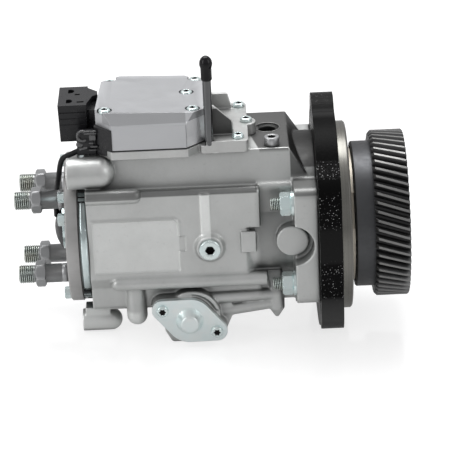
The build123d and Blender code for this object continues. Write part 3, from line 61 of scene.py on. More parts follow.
NODES = frame["nodes"]
MM = 0.001

# ---- places and sizes of the pieces, in millimetres; angles in degrees from the top towards -Y ----
PITCH_M14, PITCH_M10 = 1.5, 1.25
THREAD_DEPTH = 0.61  # share of the pitch
THREAD_FLAT, THREAD_FLANK = 0.12, 0.76  # crest and flank, as shares of half a pitch
THREAD_SHADE_START = 0.62  # share of the depth below which the root's dark material, a painted shade in the grooves, starts
THREAD_SAMPLES, THREAD_LEAD_IN = 8, 1.0
HEX_END_R, HEX_TURN_L = 0.97, 0.58  # turned corners: end radius as a share of half the flats, and slope
HEX_TURN = (0.0, 0.34, 0.67, 1.0)

OUTLET_TIP_X, HEAD_BACK_X = -236.0, -199.2
OUTLET_PITCH_R, OUTLET_FIRST = 39.4, 35.7
OUTLET_CONE = ((7.0, 1.2), (5.0, 1.25), (0.35, 5.1), (0.0, 5.5))  # depth and radius of the seat in the tip
OUTLET_THREAD_R, OUTLET_THREAD_L = 7.0, 10.6
OUTLET_COLLAR_R, OUTLET_COLLAR_L = 6.3, 1.6
OUTLET_HEX_AF, OUTLET_HEX_L = 17.0, 7.4
OUTLET_SLEEVE_R = 6.95
OUTLET_GROOVE = ((5.6, 6.95), (5.4, 6.7), (5.0, 6.7), (4.8, 6.95))  # distance from the head, and radius
OUTLET_SHANK_R, OUTLET_SHANK_L = 6.0, 12.0
OUTLET_BORE_R, OUTLET_BORE_L, OUTLET_HOLE_R = 3.6, 12.0, 1.2

STUD_Y, STUD_ZS, STUD_R, STUD_END_R = 57.0, (35.0, -27.8), 5.0, 4.9
STUD_BACK_X, STUD_FRONT_X, STUD_NUT_X, STUD_IN_NUT = -50.5, -5.3, -35.5, 1.0

PAN_FOOT, PAN_SIDE, PAN_ROUND = 0.12, 0.42, 1.5  # ends of the straight side as shares of the head; rounding
PAN_ROUND_STEPS = (0.25, 0.5, 0.75, 1.0)
PAN_SHANK_TIP, PAN_EDGE, LOBE_EDGE = (0.6, 0.5), 0.1, 0.15
LOBE_DEPTH, LOBE_TIP_R, LOBE_CHAMFER = 1.5, 0.25, 0.12
SCREW_HEAD_R, SCREW_HEAD_H, SCREW_SOCKET_R = 4.4, 2.8, 2.0
# x and y of the screws
UNIT_SCREWS = ((-166.0, -33.0), (-103.0, -31.0), (-107.3, 2.0), (-101.0, 30.0), (-164.0, 31.0))
UNIT_SHANK_R, UNIT_SHANK_FOOT_Z, UNIT_SCREW_SINK = 2.2, 72.0, 1.8
EAR_TOP_Z, FAR_EARS_Y = 99.0, 20.0  # the far screws stand on ears, the near ones in the sloping top
LEDGE_SCREWS = ((-71.3, -34.0), (-64.7, -3.0), (-69.4, 27.5))
LEDGE_TOP_Z, LEDGE_SHANK_R, LEDGE_SHANK_FOOT_Z = 79.0, 1.7, 61.0
COVER_BACK_X, COVER_BACK_TOP_Z, COVER_L, COVER_FALL = -173.0, 104.0, 78.0, 2.7
TIMING_X, TIMING_Z, TIMING_FACE_Y = -112.2, -54.6, 58.0
TIMING_SCREW_PITCH, TIMING_SCREW_TILT = 21.6, 25.0
TIMING_HEAD_R, TIMING_HEAD_H, TIMING_SHANK_R, TIMING_SHANK_L, TIMING_SOCKET_R = 4.5, 3.0, 2.5, 15.0, 2.2

# Socket heads: how far below the top and inside the radius the rim runs; chamfers of shank, foot and socket
SOCKET_RIM = ((0.8, 0.0), (0.25, 0.35), (0.0, 1.0))
SOCKET_SHANK_TIP, SOCKET_FOOT, SOCKET_MOUTH = (0.8, 0.6), 0.2, (0.5, 0.4)
SOCKET_SHADE_DEPTH, SOCKET_POINT = 1.2, (0.8, 0.3)  # depth from which the socket takes the dark second material, a painted shade; the drill's point
SIDE_PLUG, PLUG_HEAD_R, PLUG_HEAD_H, PLUG_SHANK_R, PLUG_SHANK_L = (-95.0, -56.4, 1.6), 7.75, 3.2, 5.0, 9.0
PLUG_SOCKET_AF, PLUG_SOCKET_DEPTH = 6.0, 6.0
BLEED, BLEED_HEAD_R, BLEED_HEAD_H, BLEED_R, BLEED_L = (-47.0, -28.5, 70.0), 5.6, 6.5, 4.0, 11.0
BLEED_SOCKET_AF, BLEED_SOCKET_DEPTH = 5.0, 4.0

BAND_X, BAND_R, BAND_T, BAND_EDGE = (-189.1, -183.5), 53.3, 1.2, 0.2
BAND_CLIPS = ((43.0, 11.0), (131.0, 9.0))  # angle and length
# A clip's parts: start and end as shares of its length, height, material index; index 1 is a black slab, a
# painted shade in the clip's gaps
CLIP_PARTS = ((-0.5, 0.5, 1.0, 1), (-0.16, 0.12, 1.8, 0), (0.24, 0.46, 1.8, 0))
CLIP_ROOT = 0.3
RETURN_PORT, RETURN_RIM_R = (-49.4, 5.0, 70.0), 9.2
RETURN_RIM = ((-0.3, -0.6), (0.3, -0.3), (0.3, 0.2), (-0.3, 0.5))  # height, and radius past the rim's

COLLAR_R, COLLAR_BAR_R, COLLAR_FACE_Y = 19.4, 1.7, -51.4
COLLAR_START, COLLAR_STEP, COLLAR_STEPS, COLLAR_SHIFT = 20, 13, 10, 2
RECESS_BACK_X, RECESS_SIDE_X, RECESS_TOP_Z, TAB_TOP_Z = -179.5, -117.1, 24.5, 11.2
LIP_R, LIP_Y, LIP_CORNER, LIP_OFFSET = 0.75, -52.0, 3.0, 0.5
SCREW_HOLE_FILL = ((-74.2, -36.1, 62.0), (-68.4, -33.0, 69.8))
SIDE_PAD = ((-72.4, -54.2, -3.5), (-61.4, -50.0, 13.0))
LABEL_LOW, LABEL_HIGH, LABEL_FACE_Y, LABEL_KEEP = (-180.5, -18.0), (-111.0, 25.5), -50.4, 0.85
MACHINED_TOP_Z, MACHINED_BACK_X, MACHINED_FRONT_X, MACHINED_KEEP = 68.6, -182.0, -17.2, 0.75

SHELL_LEFT_X, SHELL_RIGHT_X, SHELL_FRONT_Y, SHELL_TOP_Z = -200.3, -180.0, -19.0, 103.0
KEYHOLES, KEYHOLE_R, KEYHOLE_DEPTH = ((-192.2, 9.8), (-193.0, -10.2)), 3.1, 2.6
KEYHOLE_FLAT, KEYHOLE_STRETCH = 0.45, 1.25
SHELL_SLOTS = ((-188.6, -184.9, 3.0), (-186.6, -181.6, -12.2))  # start x, end x, y
SHELL_SLOT_HALF_W, SHELL_SLOT_DEPTH = 1.2, 1.8
SHELL_SEAMS, SHELL_SEAM_W = ((97.2, 0.6), (92.5, 0.3), (88.0, 0.3)), 0.5  # height and depth; width
# The shoulder's plan
SHOULDER = ((-180.3, -18.6), (-175.8, -1.4), (-172.3, 2.2), (-172.3, 8.0), (-180.3, 17.0))
SHOULDER_FOOT_Z, SHOULDER_STEP = 90.0, 0.1
CORNER_BAND, CORNER_DROP = 0.5, 3.6  # what lies this near the corner plate's top comes down by this much

LATCH_Y, LATCH_TIP_Y = -37.5, -38.6
# The clamp's body as stations, its blocks and key as corners, its knob and rod as ends, radius, sides
CLAMP_AXIS = (-187.0, -30.5, 80.3)
CLAMP_BODY = ((0.0, 6.6, 0), (0.8, 8.0, 0), (11.5, 8.3, 0), (12.6, 7.4, 0))
CLAMP_BLOCKS = (((-184.0, LATCH_Y, 72.2), (-173.6, -31.0, 88.0)),
                ((-187.0, LATCH_Y + 0.3, 71.6), (-174.0, -31.0, 79.0)))
CLAMP_BARS = ((-180.0, -173.2, 90.2, 0.5), (-181.0, -173.2, 88.4, 0.7), (-177.6, -175.6, 81.0, 0.6),
              (-176.6, -172.9, 78.3, 0.7), (-178.0, -173.5, 75.7, 0.5))  # start x, end x, z, radius
CLAMP_KEY = ((-177.8, LATCH_TIP_Y, 83.2), (-173.3, LATCH_Y + 1, 86.9))
LOOP_X, LOOP_Z, LOOP_RX, LOOP_RZ, LOOP_R, LOOP_SINK = -182.7, 86.6, 3.6, 3.9, 0.9, 0.4
LOOP_START, LOOP_STEP, LOOP_POINTS = 60, 24, 11
CLAMP_KNOB = ((-186.2, LATCH_TIP_Y + 0.6, 80.2), (-184.2, LATCH_TIP_Y + 0.6, 79.6), 1.5, 16)
CLAMP_ROD = ((-184.6, LATCH_TIP_Y + 0.6, 76.4), (-180.4, LATCH_TIP_Y + 0.2, 77.6), 1.0)

PIPE_X, PIPE_Y, PIPE_R, PIPE_TOP_Z, CAP_FOOT_Z = -92.0, -38.0, 3.15, 128.0, 125.2
# The cap's section: height and radius
CAP_PROFILE = ((CAP_FOOT_Z, 3.5), (125.5, 3.8), (126.6, 4.1), (127.8, 3.95), (134.2, 3.95), (135.4, 4.25),
               (136.6, 4.65), (138.0, 4.7), (139.6, 4.45), (141.2, 3.75), (142.5, 2.6), (143.2, 1.5),
               (143.5, 0.2), (PIPE_TOP_Z, 0.2), (PIPE_TOP_Z, PIPE_R), (CAP_FOOT_Z, PIPE_R))

LEAD_R = 2.0
# The lead's points, from the clamp round the back of the head into the cap
LEAD = ((-186.0, -28.5, 72.0), (-192.5, -28.5, 69.0), (-198.5, -27.5, 66.5), (-201.0, -24.5, 60.0),
        (-202.8, -19.0, 49.0), (-205.6, -11.0, 35.5), (-207.6, -4.0, 21.0), (-207.9, 0.0, 9.0))


def polar(radius, angle):
    """The (y, z) of a point, with the angle in degrees from the top towards -Y."""
    return -radius * math.sin(math.radians(angle)), radius * math.cos(math.radians(angle))


# ---- materials ----
NOISE_CORE = (0.3, 0.7)  # where most of a noise lies
# Noise from where to where a mark shows, and its strength
SPOTS, OIL, SCUFFS = (0.62, 0.8, 0.0, 0.3), (0.55, 0.8, 0.0, 0.4), (0.62, 0.85, 0.0, 0.4)
WORN = (0.515, 0.6)  # convexity from where to where an edge is rubbed
EDGE_SAMPLES, CREASE_SAMPLES = 4, 6


class Nodes:
    """A node tree under construction, over one kind of coordinates."""

    def __init__(self, tree, coordinates):
        self.tree = tree
        self.place = self.add("TexCoord").outputs[coordinates]

    def fill(self, socket, value):
        """Sets a socket to a number or a colour, or links an output to it."""
        if isinstance(value, (int, float)):
            socket.default_value = value
        elif isinstance(value, tuple):
            socket.default_value = (*value, 1.0)
        else:
            self.tree.links.new(value, socket)

    def add(self, kind, **inputs):
        """A new node, with its inputs by name."""
        node = self.tree.nodes.new("ShaderNode" + kind)
        for name, value in inputs.items():
            self.fill(node.inputs[name.replace("_", " ")], value)
        return node

    def math(self, operation, a, b=0.0, c=0.0):
        node = self.add("Math")
        node.operation = operation
        for socket, value in zip(node.inputs, (a, b, c)):
            self.fill(socket, value)
        return node.outputs[0]

    def times(self, a, b):
        return self.math("MULTIPLY", a, b)

    def split(self):
        return self.add("SeparateXYZ", Vector=self.place).outputs

    def noise(self, scale, detail=3.0, roughness=0.55, vector=None):
        return self.add("TexNoise", Scale=scale, Detail=detail, Roughness=roughness,
                        Vector=vector or self.place).outputs["Fac"]

    def specks(self, scale):
        return self.add("TexVoronoi", Scale=scale, Vector=self.place).outputs["Distance"]

    def ramp(self, factor, stops):
        """A run of colours or greys, each with its place from 0 to 1."""
        node = self.add("ValToRGB", Fac=factor)
        elements = node.color_ramp.elements
        while len(elements) < len(stops):
            elements.new(0.5)
        for element, (at, colour) in zip(elements, stops):
            element.position = at
            element.color = (*colour, 1.0) if isinstance(colour, tuple) else (colour, colour, colour, 1.0)
        return node.outputs[0]

    def span(self, factor, low, high, start=0.0, end=1.0):
        """From start to end as the factor goes from low to high, and held there beyond."""
        return self.add("MapRange", From_Min=low, From_Max=high, To_Min=start, To_Max=end,
                        Value=factor).outputs[0]

    def mix(self, factor, a, b, blend="MIX"):
        node = self.add("Mix")
        node.data_type = "RGBA"
        node.blend_type = blend
        for socket, value in (("Factor", factor), ("A", a), ("B", b)):
            self.fill([s for s in node.inputs if s.name == socket and s.enabled][0], value)
        return [s for s in node.outputs if s.enabled][0]


class Paint(Nodes):
    """A material on the model's coordinates; uniform values are for inputs of its shader."""

    def __init__(self, name, **uniform):
        self.material = bpy.data.materials.new(name + "_finish")
        self.material.use_nodes = True
        super().__init__(self.material.node_tree, "Object")
        self.shader = self.tree.nodes["Principled BSDF"]
        for socket, value in uniform.items():
            self.fill(self.shader.inputs[socket.replace("_", " ")], value)

    def turn(self):
        """The angle round the shaft from the top towards -Y, as a share of a turn."""
        _, y, z = self.split()
        angle = self.math("ARCTAN2", self.times(y, -1.0), z)
        return self.math("FRACT", self.math("ADD", self.math("DIVIDE", angle, 2 * math.pi), 1.0))

    def radius(self):
        """The distance from the shaft's axis."""
        _, y, z = self.split()
        return self.math("SQRT", self.math("ADD", self.times(y, y), self.times(z, z)))

    def rings(self, lines, roughness):
        """Noise drawn out into rings round the shaft; lines are waves in a metre."""
        along, out = self.times(self.split()[0], lines), self.times(self.radius(), lines)
        return self.noise(1.0, 2.0, roughness, self.add("CombineXYZ", X=along, Y=out).outputs[0])

    def patch(self, low, high, soft):
        """1 inside a box given by two corners in mm, fading over a soft edge."""
        mask = 1.0
        for axis, a, b in zip(self.split(), low, high):
            for limit, outside in ((a, a - soft), (b, b + soft)):
                mask = self.times(mask, self.span(axis, outside * MM, limit * MM))
        return mask

    def wear(self):
        """1 on sharp convex edges."""
        return self.span(self.add("NewGeometry").outputs["Pointiness"], *WORN)

    def hollow(self, distance, alone=False):
        """1 in the open, falling towards 0 in corners and creases; alone leaves other objects out."""
        node = self.add("AmbientOcclusion", Distance=distance)
        node.samples = CREASE_SAMPLES
        node.only_local = alone
        return node.outputs["AO"]

    def surface(self, heights, edge=0.0004):
        """Rounded edges and bumps; heights are (texture, strength, depth in metres)."""
        bevel = self.add("Bevel", Radius=edge)
        bevel.samples = EDGE_SAMPLES
        normal = bevel.outputs[0]
        for height, strength, depth in heights:
            bump = self.add("Bump", Strength=strength, Distance=depth, Height=height, Normal=normal)
            normal = bump.outputs[0]
        self.fill(self.shader.inputs["Normal"], normal)
        return self.material

    def colour(self, value):
        self.fill(self.shader.inputs["Base Color"], value)

    def roughness(self, texture, low, high, limits=NOISE_CORE):
        """Roughness from low to high as a texture goes from one limit to the other."""
        self.fill(self.shader.inputs["Roughness"], self.span(texture, *limits, low, high))


# Scales of the noises are waves in a metre, and depths and edges are metres
RING_LINES, BROAD_LINES = 2600.0, 180.0
# how far the painted shade in creases reaches: near, far, and on plated parts
CREASE_NEAR, CREASE_FAR, CREASE_PLATED = 0.006, 0.03, 0.0012
CREASE_SHADE_TONE, SPOT_TONE, WORN_TONE = 0.12, 0.75, 1.3  # shares of the colour: painted shade in creases, dark spots, rubbed edges


def tinted(colour, share):
    """A share of a colour."""
    return tuple(min(1.0, c * share) for c in colour)


def cast_metal(name, dark, pale, rough=(0.3, 0.42), grain=1.0, zone=None, light_and_shade_boxes=(), crease_shade=0.4,
               metallic=0.85):
    """Blasted aluminium casting: cloudy colour, fine grain, rubbed edges and painted shade in the creases.

    zone(paint) gives a mask for a machined area and its colour, a painted shade. The boxes paint light and
    shade: corners in mm, their soft edge and their share of the colour."""
    p = Paint(name, Metallic=metallic)
    body = p.ramp(p.noise(38.0, 5.0, 0.6), tuple(zip(NOISE_CORE, (dark, pale))))
    body = p.mix(p.span(p.noise(420.0, 2.0), *SPOTS), body, tinted(dark, SPOT_TONE))
    # painted shade on the machined area
    if zone:
        mask, colour = zone(p)
        body = p.mix(mask, body, colour)
    body = p.mix(p.wear(), body, tinted(pale, WORN_TONE))
    # painted light and shade in boxes
    for low, high, soft, share in light_and_shade_boxes:
        body = p.mix(p.patch(low, high, soft), body, p.mix(1.0, body, (share, share, share), "MULTIPLY"))
    # painted shade in corners and creases, from ambient occlusion
    near = p.span(p.hollow(CREASE_NEAR), 0.25, 0.85, 0.35, 1.0)
    far = p.span(p.hollow(CREASE_FAR, True), 0.3, 0.85, crease_shade, 1.0)
    p.colour(p.mix(p.times(near, far), tinted(dark, CREASE_SHADE_TONE), body))
    p.roughness(p.noise(150.0, 3.0), *rough)
    fine = (p.noise(1500.0, 2.0), 0.3 * grain, 0.00012)
    coarse = (p.noise(240.0, 3.0), 0.2 * grain, 0.0004)
    return p.surface([fine, coarse])


# Where the painted shade on the milled face fades in, in metres: along x with a slant, above a height, and
# between its sides
MILLED_X, MILLED_SLANT, MILLED_Z = (-0.0645, -0.0635), 0.2, (0.0475, 0.0495)
MILLED_FRONT_Y, MILLED_FAR_Y = (-0.0352, -0.0342), (0.0362, 0.0352)
# the colour of the painted shade on the milled face
MILLED_SHADE_COLOUR = (0.15, 0.15, 0.148)


def milled_face_shade(p):
    """The milled face round the return port and the slope beside the plate, painted darker as painted shade.
    """
    x, y, z = p.split()
    right = p.span(p.math("ADD", x, p.times(y, MILLED_SLANT)), *MILLED_X)
    inner = p.times(p.span(y, *MILLED_FRONT_Y), p.span(y, *MILLED_FAR_Y))
    return p.times(right, p.times(p.span(z, *MILLED_Z), inner)), MILLED_SHADE_COLOUR


def turned_metal(name, colour, pale, rough=(0.22, 0.4), lines=RING_LINES, metallic=1.0):
    """Metal turned about the shaft's axis, with fine rings."""
    p = Paint(name, Metallic=metallic)
    rings = p.rings(lines, 0.7)
    body = p.ramp(p.rings(BROAD_LINES, 0.5), ((0.35, colour), (0.65, pale)))
    p.colour(p.mix(p.span(p.noise(90.0, 4.0), *OIL), body, tinted(colour, SPOT_TONE)))
    p.roughness(rings, *rough)
    return p.surface([(rings, 0.25, 0.00006)], 0.0005)


def plated(name, colour, tint, rough=(0.2, 0.3), edge=0.0003, crease_shade=False, shine=None):
    """Bright zinc with faint blue and straw clouds; the crease flag paints shade in its hollows.

    Shine is a painted reflection: its tone round the shaft, as stops of a turn."""
    p = Paint(name, Metallic=0.8)
    body = p.mix(p.span(p.noise(90.0, 3.0), 0.4, 0.7), colour, tint)
    if crease_shade:
        # painted shade in the hollows
        body = p.mix(p.span(p.hollow(CREASE_PLATED), 0.2, 0.8), tinted(colour, CREASE_SHADE_TONE), body)
    if shine:
        # painted reflection round the shaft
        body = p.mix(1.0, body, p.ramp(p.turn(), shine), "MULTIPLY")
    p.colour(body)
    p.roughness(p.noise(120.0, 2.0), *rough)
    return p.surface([], edge)


def moulded(name, colour, rough, grain=0.3, shine=0.3):
    """Black moulding with a fine grain and a dusting of scuffs."""
    p = Paint(name, Specular_IOR_Level=shine)
    p.colour(p.mix(p.span(p.noise(320.0, 5.0, 0.7), *SCUFFS), colour, tuple(c * 2.2 + 0.01 for c in colour)))
    p.roughness(p.noise(260.0, 3.0), *rough)
    return p.surface([(p.noise(1800.0, 2.0), grain, 0.0001)], 0.0005)


# Stretches of the plate's rim: degrees from the top towards -Y, how coarse, how light; the lightness is
# painted light and shade along the rim
PLATE_ZONES = (
    (-28, 1, 0.02), (-3, 0, 0.02), (2, 0, 0.03), (7, 0, 0.006), (38, 0, 0.005), (39, 1, 0.005),
    (49, 1, 0.005), (50, 0, 0.005), (57, 0, 0.004), (58, 1, 0.004), (72, 1, 0.006), (75, 0, 0.018),
    (91, 0, 0.02), (93, 1, 0.006), (113, 1, 0.006), (114, 0, 0.04), (124, 0, 0.09), (190, 0, 0.03),
    (195, 1, 0.006), (225, 1, 0.006), (230, 0, 0.01), (270, 1, 0.006), (285, 0, 0.01), (330, 1, 0.02),
)
GRIT_SCALE, GRIT_DEPTH, PAINT_EDGE = 640.0, 0.0008, 0.0007
# the colour of the painted glints
PAINTED_GLINT = (0.5, 0.5, 0.5)


def black_paint():
    """Gloss black over a cast rim that is coarse on some stretches and smooth on others, with painted light
    and shade along the rim and painted glints on the coarse stretches.
    """
    p = Paint("black_paint", Metallic=0.0, Specular_IOR_Level=0.035)
    share = p.turn()
    coarse = p.ramp(share, sorted(((angle % 360) / 360.0, float(level)) for angle, level, _ in PLATE_ZONES))
    # painted light and shade along the rim
    tone = p.ramp(share, sorted(((angle % 360) / 360.0, light) for angle, _, light in PLATE_ZONES))
    grit = p.specks(GRIT_SCALE)
    # painted glints on the coarse stretches
    painted_glints = p.times(p.span(grit, 0.26, 0.16), p.span(p.noise(420.0, 1.0), 0.4, 0.56))
    painted_glints = p.times(painted_glints, coarse)
    p.colour(p.mix(painted_glints, tone, PAINTED_GLINT))
    p.roughness(coarse, 0.3, 0.2, (0.0, 1.0))
    lumps = p.math("ADD", p.noise(700.0, 3.0, 0.6), p.times(grit, -0.7))
    height = p.times(lumps, p.span(coarse, 0.0, 1.0, 0.12, 1.0))
    return p.surface([(height, 0.9, GRIT_DEPTH)], PAINT_EDGE)


# Radii of the teeth and where they start along the shaft, in metres
GEAR_TIP_R, GEAR_ROOT_R, GEAR_RIM_R = 0.0616, 0.0574, (0.0545, 0.0550)
GEAR_BACK_X = (0.0251, 0.0256)
# Tone of a tooth from its root to its land: darker at the root as painted shade, lighter on the land partly
# from rubbing and partly as a painted highlight
TOOTH_SHADE_AND_WEAR = ((0.0, (0.05, 0.05, 0.051)), (0.55, (0.13, 0.13, 0.13)), (0.93, (0.19, 0.19, 0.192)),
               (1.0, (0.28, 0.28, 0.275)))


def gear_steel():
    """Hardened steel: darker towards the roots as painted shade between the teeth, lighter on the lands
    partly from rubbing and partly as a painted highlight.
    """
    p = Paint("gear_steel", Metallic=0.92)
    radius = p.radius()
    # painted shade at the roots, lighter lands partly from rubbing and partly painted highlight
    teeth = p.ramp(p.span(radius, GEAR_ROOT_R, GEAR_TIP_R), TOOTH_SHADE_AND_WEAR)
    hub = p.mix(p.noise(70.0, 4.0), (0.085, 0.087, 0.092), (0.12, 0.122, 0.127))
    on_teeth = p.times(p.span(p.split()[0], *GEAR_BACK_X), p.span(radius, *GEAR_RIM_R))
    p.colour(p.mix(on_teeth, hub, teeth))
    p.roughness(p.noise(300.0, 3.0), 0.36, 0.5)
    return p.surface([(p.rings(RING_LINES, 0.6), 0.2, 0.00006)], 0.0003)


def chrome():
    """Drawn bright tube."""
    p = Paint("bright_tube", Metallic=1.0)
    p.colour(p.mix(p.noise(90.0, 3.0), (0.13, 0.133, 0.136), (0.18, 0.183, 0.186)))
    p.roughness(p.noise(400.0, 2.0), 0.12, 0.2)
    return p.surface([(p.noise(1600.0, 2.0), 0.1, 0.00005)], 0.0003)


# Boxes of a casting painted lighter or darker as painted light and shade: box corners in mm, soft edge,
# share of the colour
HOUSING_LIGHT_AND_SHADE = (
    ((-179.3, -60.0, -16.8), (-117.3, -50.5, 24.3), 0.5, 1.25),  # the label's recess, painted lighter as painted light
    ((-100.6, -60.0, 9.0), (-94.2, -50.5, 43.0), 0.6, 1.5),  # the strip above the plug, painted lighter as painted light
    ((-58.0, -50.5, -38.0), (-40.0, -40.0, 40.0), 4.0, 0.6),  # painted shade on the waist behind the flange
    ((-34.2, -47.0, 48.8), (-17.0, 35.2, 75.0), 0.6, 0.3),  # painted shade on the slope beside the plate
    ((-60.0, -70.0, 45.0), (-16.5, -44.5, 49.0), 1.0, 0.4),  # painted shade on the top of the flange's ear
    ((-185.0, -70.0, 43.0), (-60.0, -46.0, 47.5), 0.8, 0.4),  # painted shade over the top edge of the side panel, dimming its highlight
    ((-56.0, -36.0, 50.0), (-35.5, 35.2, 69.4), 0.6, 0.25),  # painted shade inside the ports of the block's top
    ((-193.0, -75.0, -80.0), (-150.0, -30.0, -52.0), 3.0, 1.4),  # painted light on the drain boss
)
BASE_LIGHT_AND_SHADE = (
    ((-89.5, -30.0, 79.5), (-75.5, -27.2, 99.0), 0.3, 0.16),  # painted shade in the pocket beside the near gusset
    ((-92.0, 20.0, 80.0), (-72.0, 30.0, 104.0), 0.5, 1.4),  # painted light on the far gusset
)
COVER_LIGHT_AND_SHADE = (
    ((-174.0, -46.5, 96.0), (-108.4, -37.8, 105.0), 0.4, 0.74),  # painted shade on the front's upper chamfer, dimming its highlight
    ((-107.6, -46.5, 70.0), (-93.0, -31.0, 96.0), 0.4, 1.95),  # painted light on the right front corner
)
# Painted reflection on the band, as its tone round the shaft: share of a turn from the top towards -Y, and
# level
BAND_PAINTED_REFLECTION = ((0.0, 0.25), (0.1, 0.3), (0.17, 0.4), (0.22, 0.9), (0.31, 1.0), (0.36, 0.4), (0.5, 0.3),
              (0.75, 0.8))
MATERIALS = {
    "black_paint": black_paint(),
    "turned_steel": turned_metal("turned_steel", (0.20, 0.195, 0.18), (0.28, 0.275, 0.25)),
    "pale_steel": turned_metal("pale_steel", (0.80, 0.74, 0.63), (0.90, 0.84, 0.73), (0.4, 0.55),
                               lines=900.0, metallic=0.7),
    "cast_housing": cast_metal("cast_housing", (0.61, 0.62, 0.61), (0.69, 0.70, 0.69), (0.4, 0.52),
                               zone=milled_face_shade, light_and_shade_boxes=HOUSING_LIGHT_AND_SHADE),
    "cast_plain": cast_metal("cast_plain", (0.17, 0.17, 0.165), (0.22, 0.22, 0.215)),
    "base_casting": cast_metal("base_casting", (0.60, 0.605, 0.595), (0.70, 0.705, 0.695), (0.36, 0.48),
                               light_and_shade_boxes=BASE_LIGHT_AND_SHADE),
    "cover_casting": cast_metal("cover_casting", (0.45, 0.457, 0.47), (0.50, 0.507, 0.52), (0.3, 0.38),
                                grain=0.3, light_and_shade_boxes=COVER_LIGHT_AND_SHADE, crease_shade=0.8, metallic=0.6),
    "head_steel": cast_metal("head_steel", (0.36, 0.355, 0.35), (0.43, 0.425, 0.42), (0.36, 0.46),
                             grain=0.5),
    "phosphated_steel": cast_metal("phosphated_steel", (0.34, 0.345, 0.35), (0.42, 0.425, 0.43), (0.3, 0.42),
                                   grain=0.4),
    "zinc_plate": plated("zinc_plate", (0.80, 0.92, 0.92), (0.88, 0.95, 0.93)),
    # a lighter copy of the zinc plating for the timing covers: painted light
    "cover_zinc_painted_light": plated("cover_zinc_painted_light", (0.90, 0.99, 0.99), (0.95, 1.0, 0.99), (0.32, 0.42), edge=0.0007),
    # zinc with a painted reflection round the shaft
    "band_zinc_painted_reflection": plated("band_zinc_painted_reflection", (0.78, 0.90, 0.91), (0.84, 0.93, 0.93), (0.1, 0.16), shine=BAND_PAINTED_REFLECTION),
    "thread_zinc": plated("thread_zinc", (0.66, 0.72, 0.69), (0.74, 0.75, 0.68), (0.16, 0.24), edge=0.00004),
    # dark zinc in the thread roots: painted shade in the grooves
    "thread_root_shade": plated("thread_root_shade", (0.07, 0.075, 0.07), (0.10, 0.10, 0.08), (0.3, 0.4), edge=0.00004),
    "gear_steel": gear_steel(),
    "hardened_steel": turned_metal("hardened_steel", (0.33, 0.33, 0.335), (0.42, 0.42, 0.425)),
    "bronze": turned_metal("bronze", (0.42, 0.27, 0.12), (0.52, 0.35, 0.17)),
    "seal_rubber": moulded("seal_rubber", (0.01, 0.01, 0.01), (0.5, 0.7)),
    "cap_rubber": moulded("cap_rubber", (0.006, 0.006, 0.007), (0.16, 0.28), grain=0.15),
    "black_plastic": moulded("black_plastic", (0.009, 0.009, 0.011), (0.24, 0.38), shine=0.5),
    # paler glossy plastic for the clamp's bars: real gloss, with the paler colour a painted highlight
    "glossy_plastic_painted_highlight": moulded("glossy_plastic_painted_highlight", (0.10, 0.10, 0.103), (0.14, 0.22), grain=0.1, shine=0.9),
    "lead_sheath": moulded("lead_sheath", (0.008, 0.008, 0.009), (0.3, 0.45)),
    "board_laminate": moulded("board_laminate", (0.02, 0.12, 0.06), (0.3, 0.45)),
    "contact_brass": plated("contact_brass", (0.62, 0.47, 0.22), (0.7, 0.6, 0.4)),
    "bright_pipe": chrome(),
}
SLOTS = {entry["node"]: entry["material_slot"] for entry in frame["record"]["subparts"]}
FINISHES = {"joint_band": "band_zinc_painted_reflection", "timing_cover": "cover_zinc_painted_light", "far_timing_cover": "cover_zinc_painted_light"}
for node, slot_name in SLOTS.items():
    mesh = NODES[node].data
    mesh.materials.clear()
    mesh.materials.append(MATERIALS[FINISHES.get(node, slot_name)])


# ---- meshes ----
def add_object(name, mesh, materials, body):
    piece = bpy.data.objects.new(name, mesh)
    bpy.context.scene.collection.objects.link(piece)
    for material in materials:
        mesh.materials.append(MATERIALS[material])
    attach(piece, body)
    return piece


def aim(direction):
    """The turn that takes +X to a direction."""
    return Vector((1, 0, 0)).rotation_difference(Vector(direction)).to_matrix().to_4x4()


# Sides of the round forms that show close up, of the thin ones and of bars; rings of a bar's round end
ROUND_STEPS, SMALL_STEPS, BAR_STEPS, BAR_END_STEPS = 72, 40, 12, 5


def turned(target, stations, origin, direction, steps=48, closed=False):
    """Adds a turned form to a bmesh. Stations are (distance, radius, material index) in mm along direction;
    a radius and an index may be functions of the angle."""
    place = Matrix.Translation(Vector(origin) * MM) @ aim(direction)
    rings = []
    for along, radius, _ in stations:
        ring = []
        for k in range(steps):
            angle = 2 * math.pi * k / steps
            r = radius(angle) if callable(radius) else radius
            point = Vector((along, r * math.cos(angle), r * math.sin(angle))) * MM
            ring.append(target.verts.new(place @ point))
        rings.append(ring)
    pairs = list(zip(rings, rings[1:], stations[1:]))
    if closed:
        pairs.append((rings[-1], rings[0], stations[0]))
    for near, far, station in pairs:
        for k in range(steps):
            face = target.faces.new((near[k], far[k], far[k - 1], near[k - 1]))
            index = station[2]
            face.material_index = index(2 * math.pi * (k - 0.5) / steps) if callable(index) else index
            face.smooth = True
    if not closed:
        for ring, station in ((rings[0], stations[0]), (rings[-1], stations[-1])):
            index = station[2]
            target.faces.new(ring).material_index = index(0.0) if callable(index) else index
    return rings


def finish_mesh(name, target):
    bmesh.ops.recalc_face_normals(target, faces=target.faces)
    mesh = bpy.data.meshes.new(name)
    target.to_mesh(mesh)
    target.free()
    return mesh


def add_mesh(name, target, materials):
    """Adds a bmesh as a piece of the pump's body."""
    return add_object(name, finish_mesh(name, target), materials, "pump_body")


def hexagon(flats):
    """Radius of a hexagon, by angle."""
    def radius(angle):
        return flats / 2 / math.cos((angle % (math.pi / 3)) - math.pi / 6)
    return radius


def cut_hexagon(flats, limit):
    """A hexagon with its corners turned down to a radius."""
    whole = hexagon(flats)
    return lambda angle: min(whole(angle), limit)


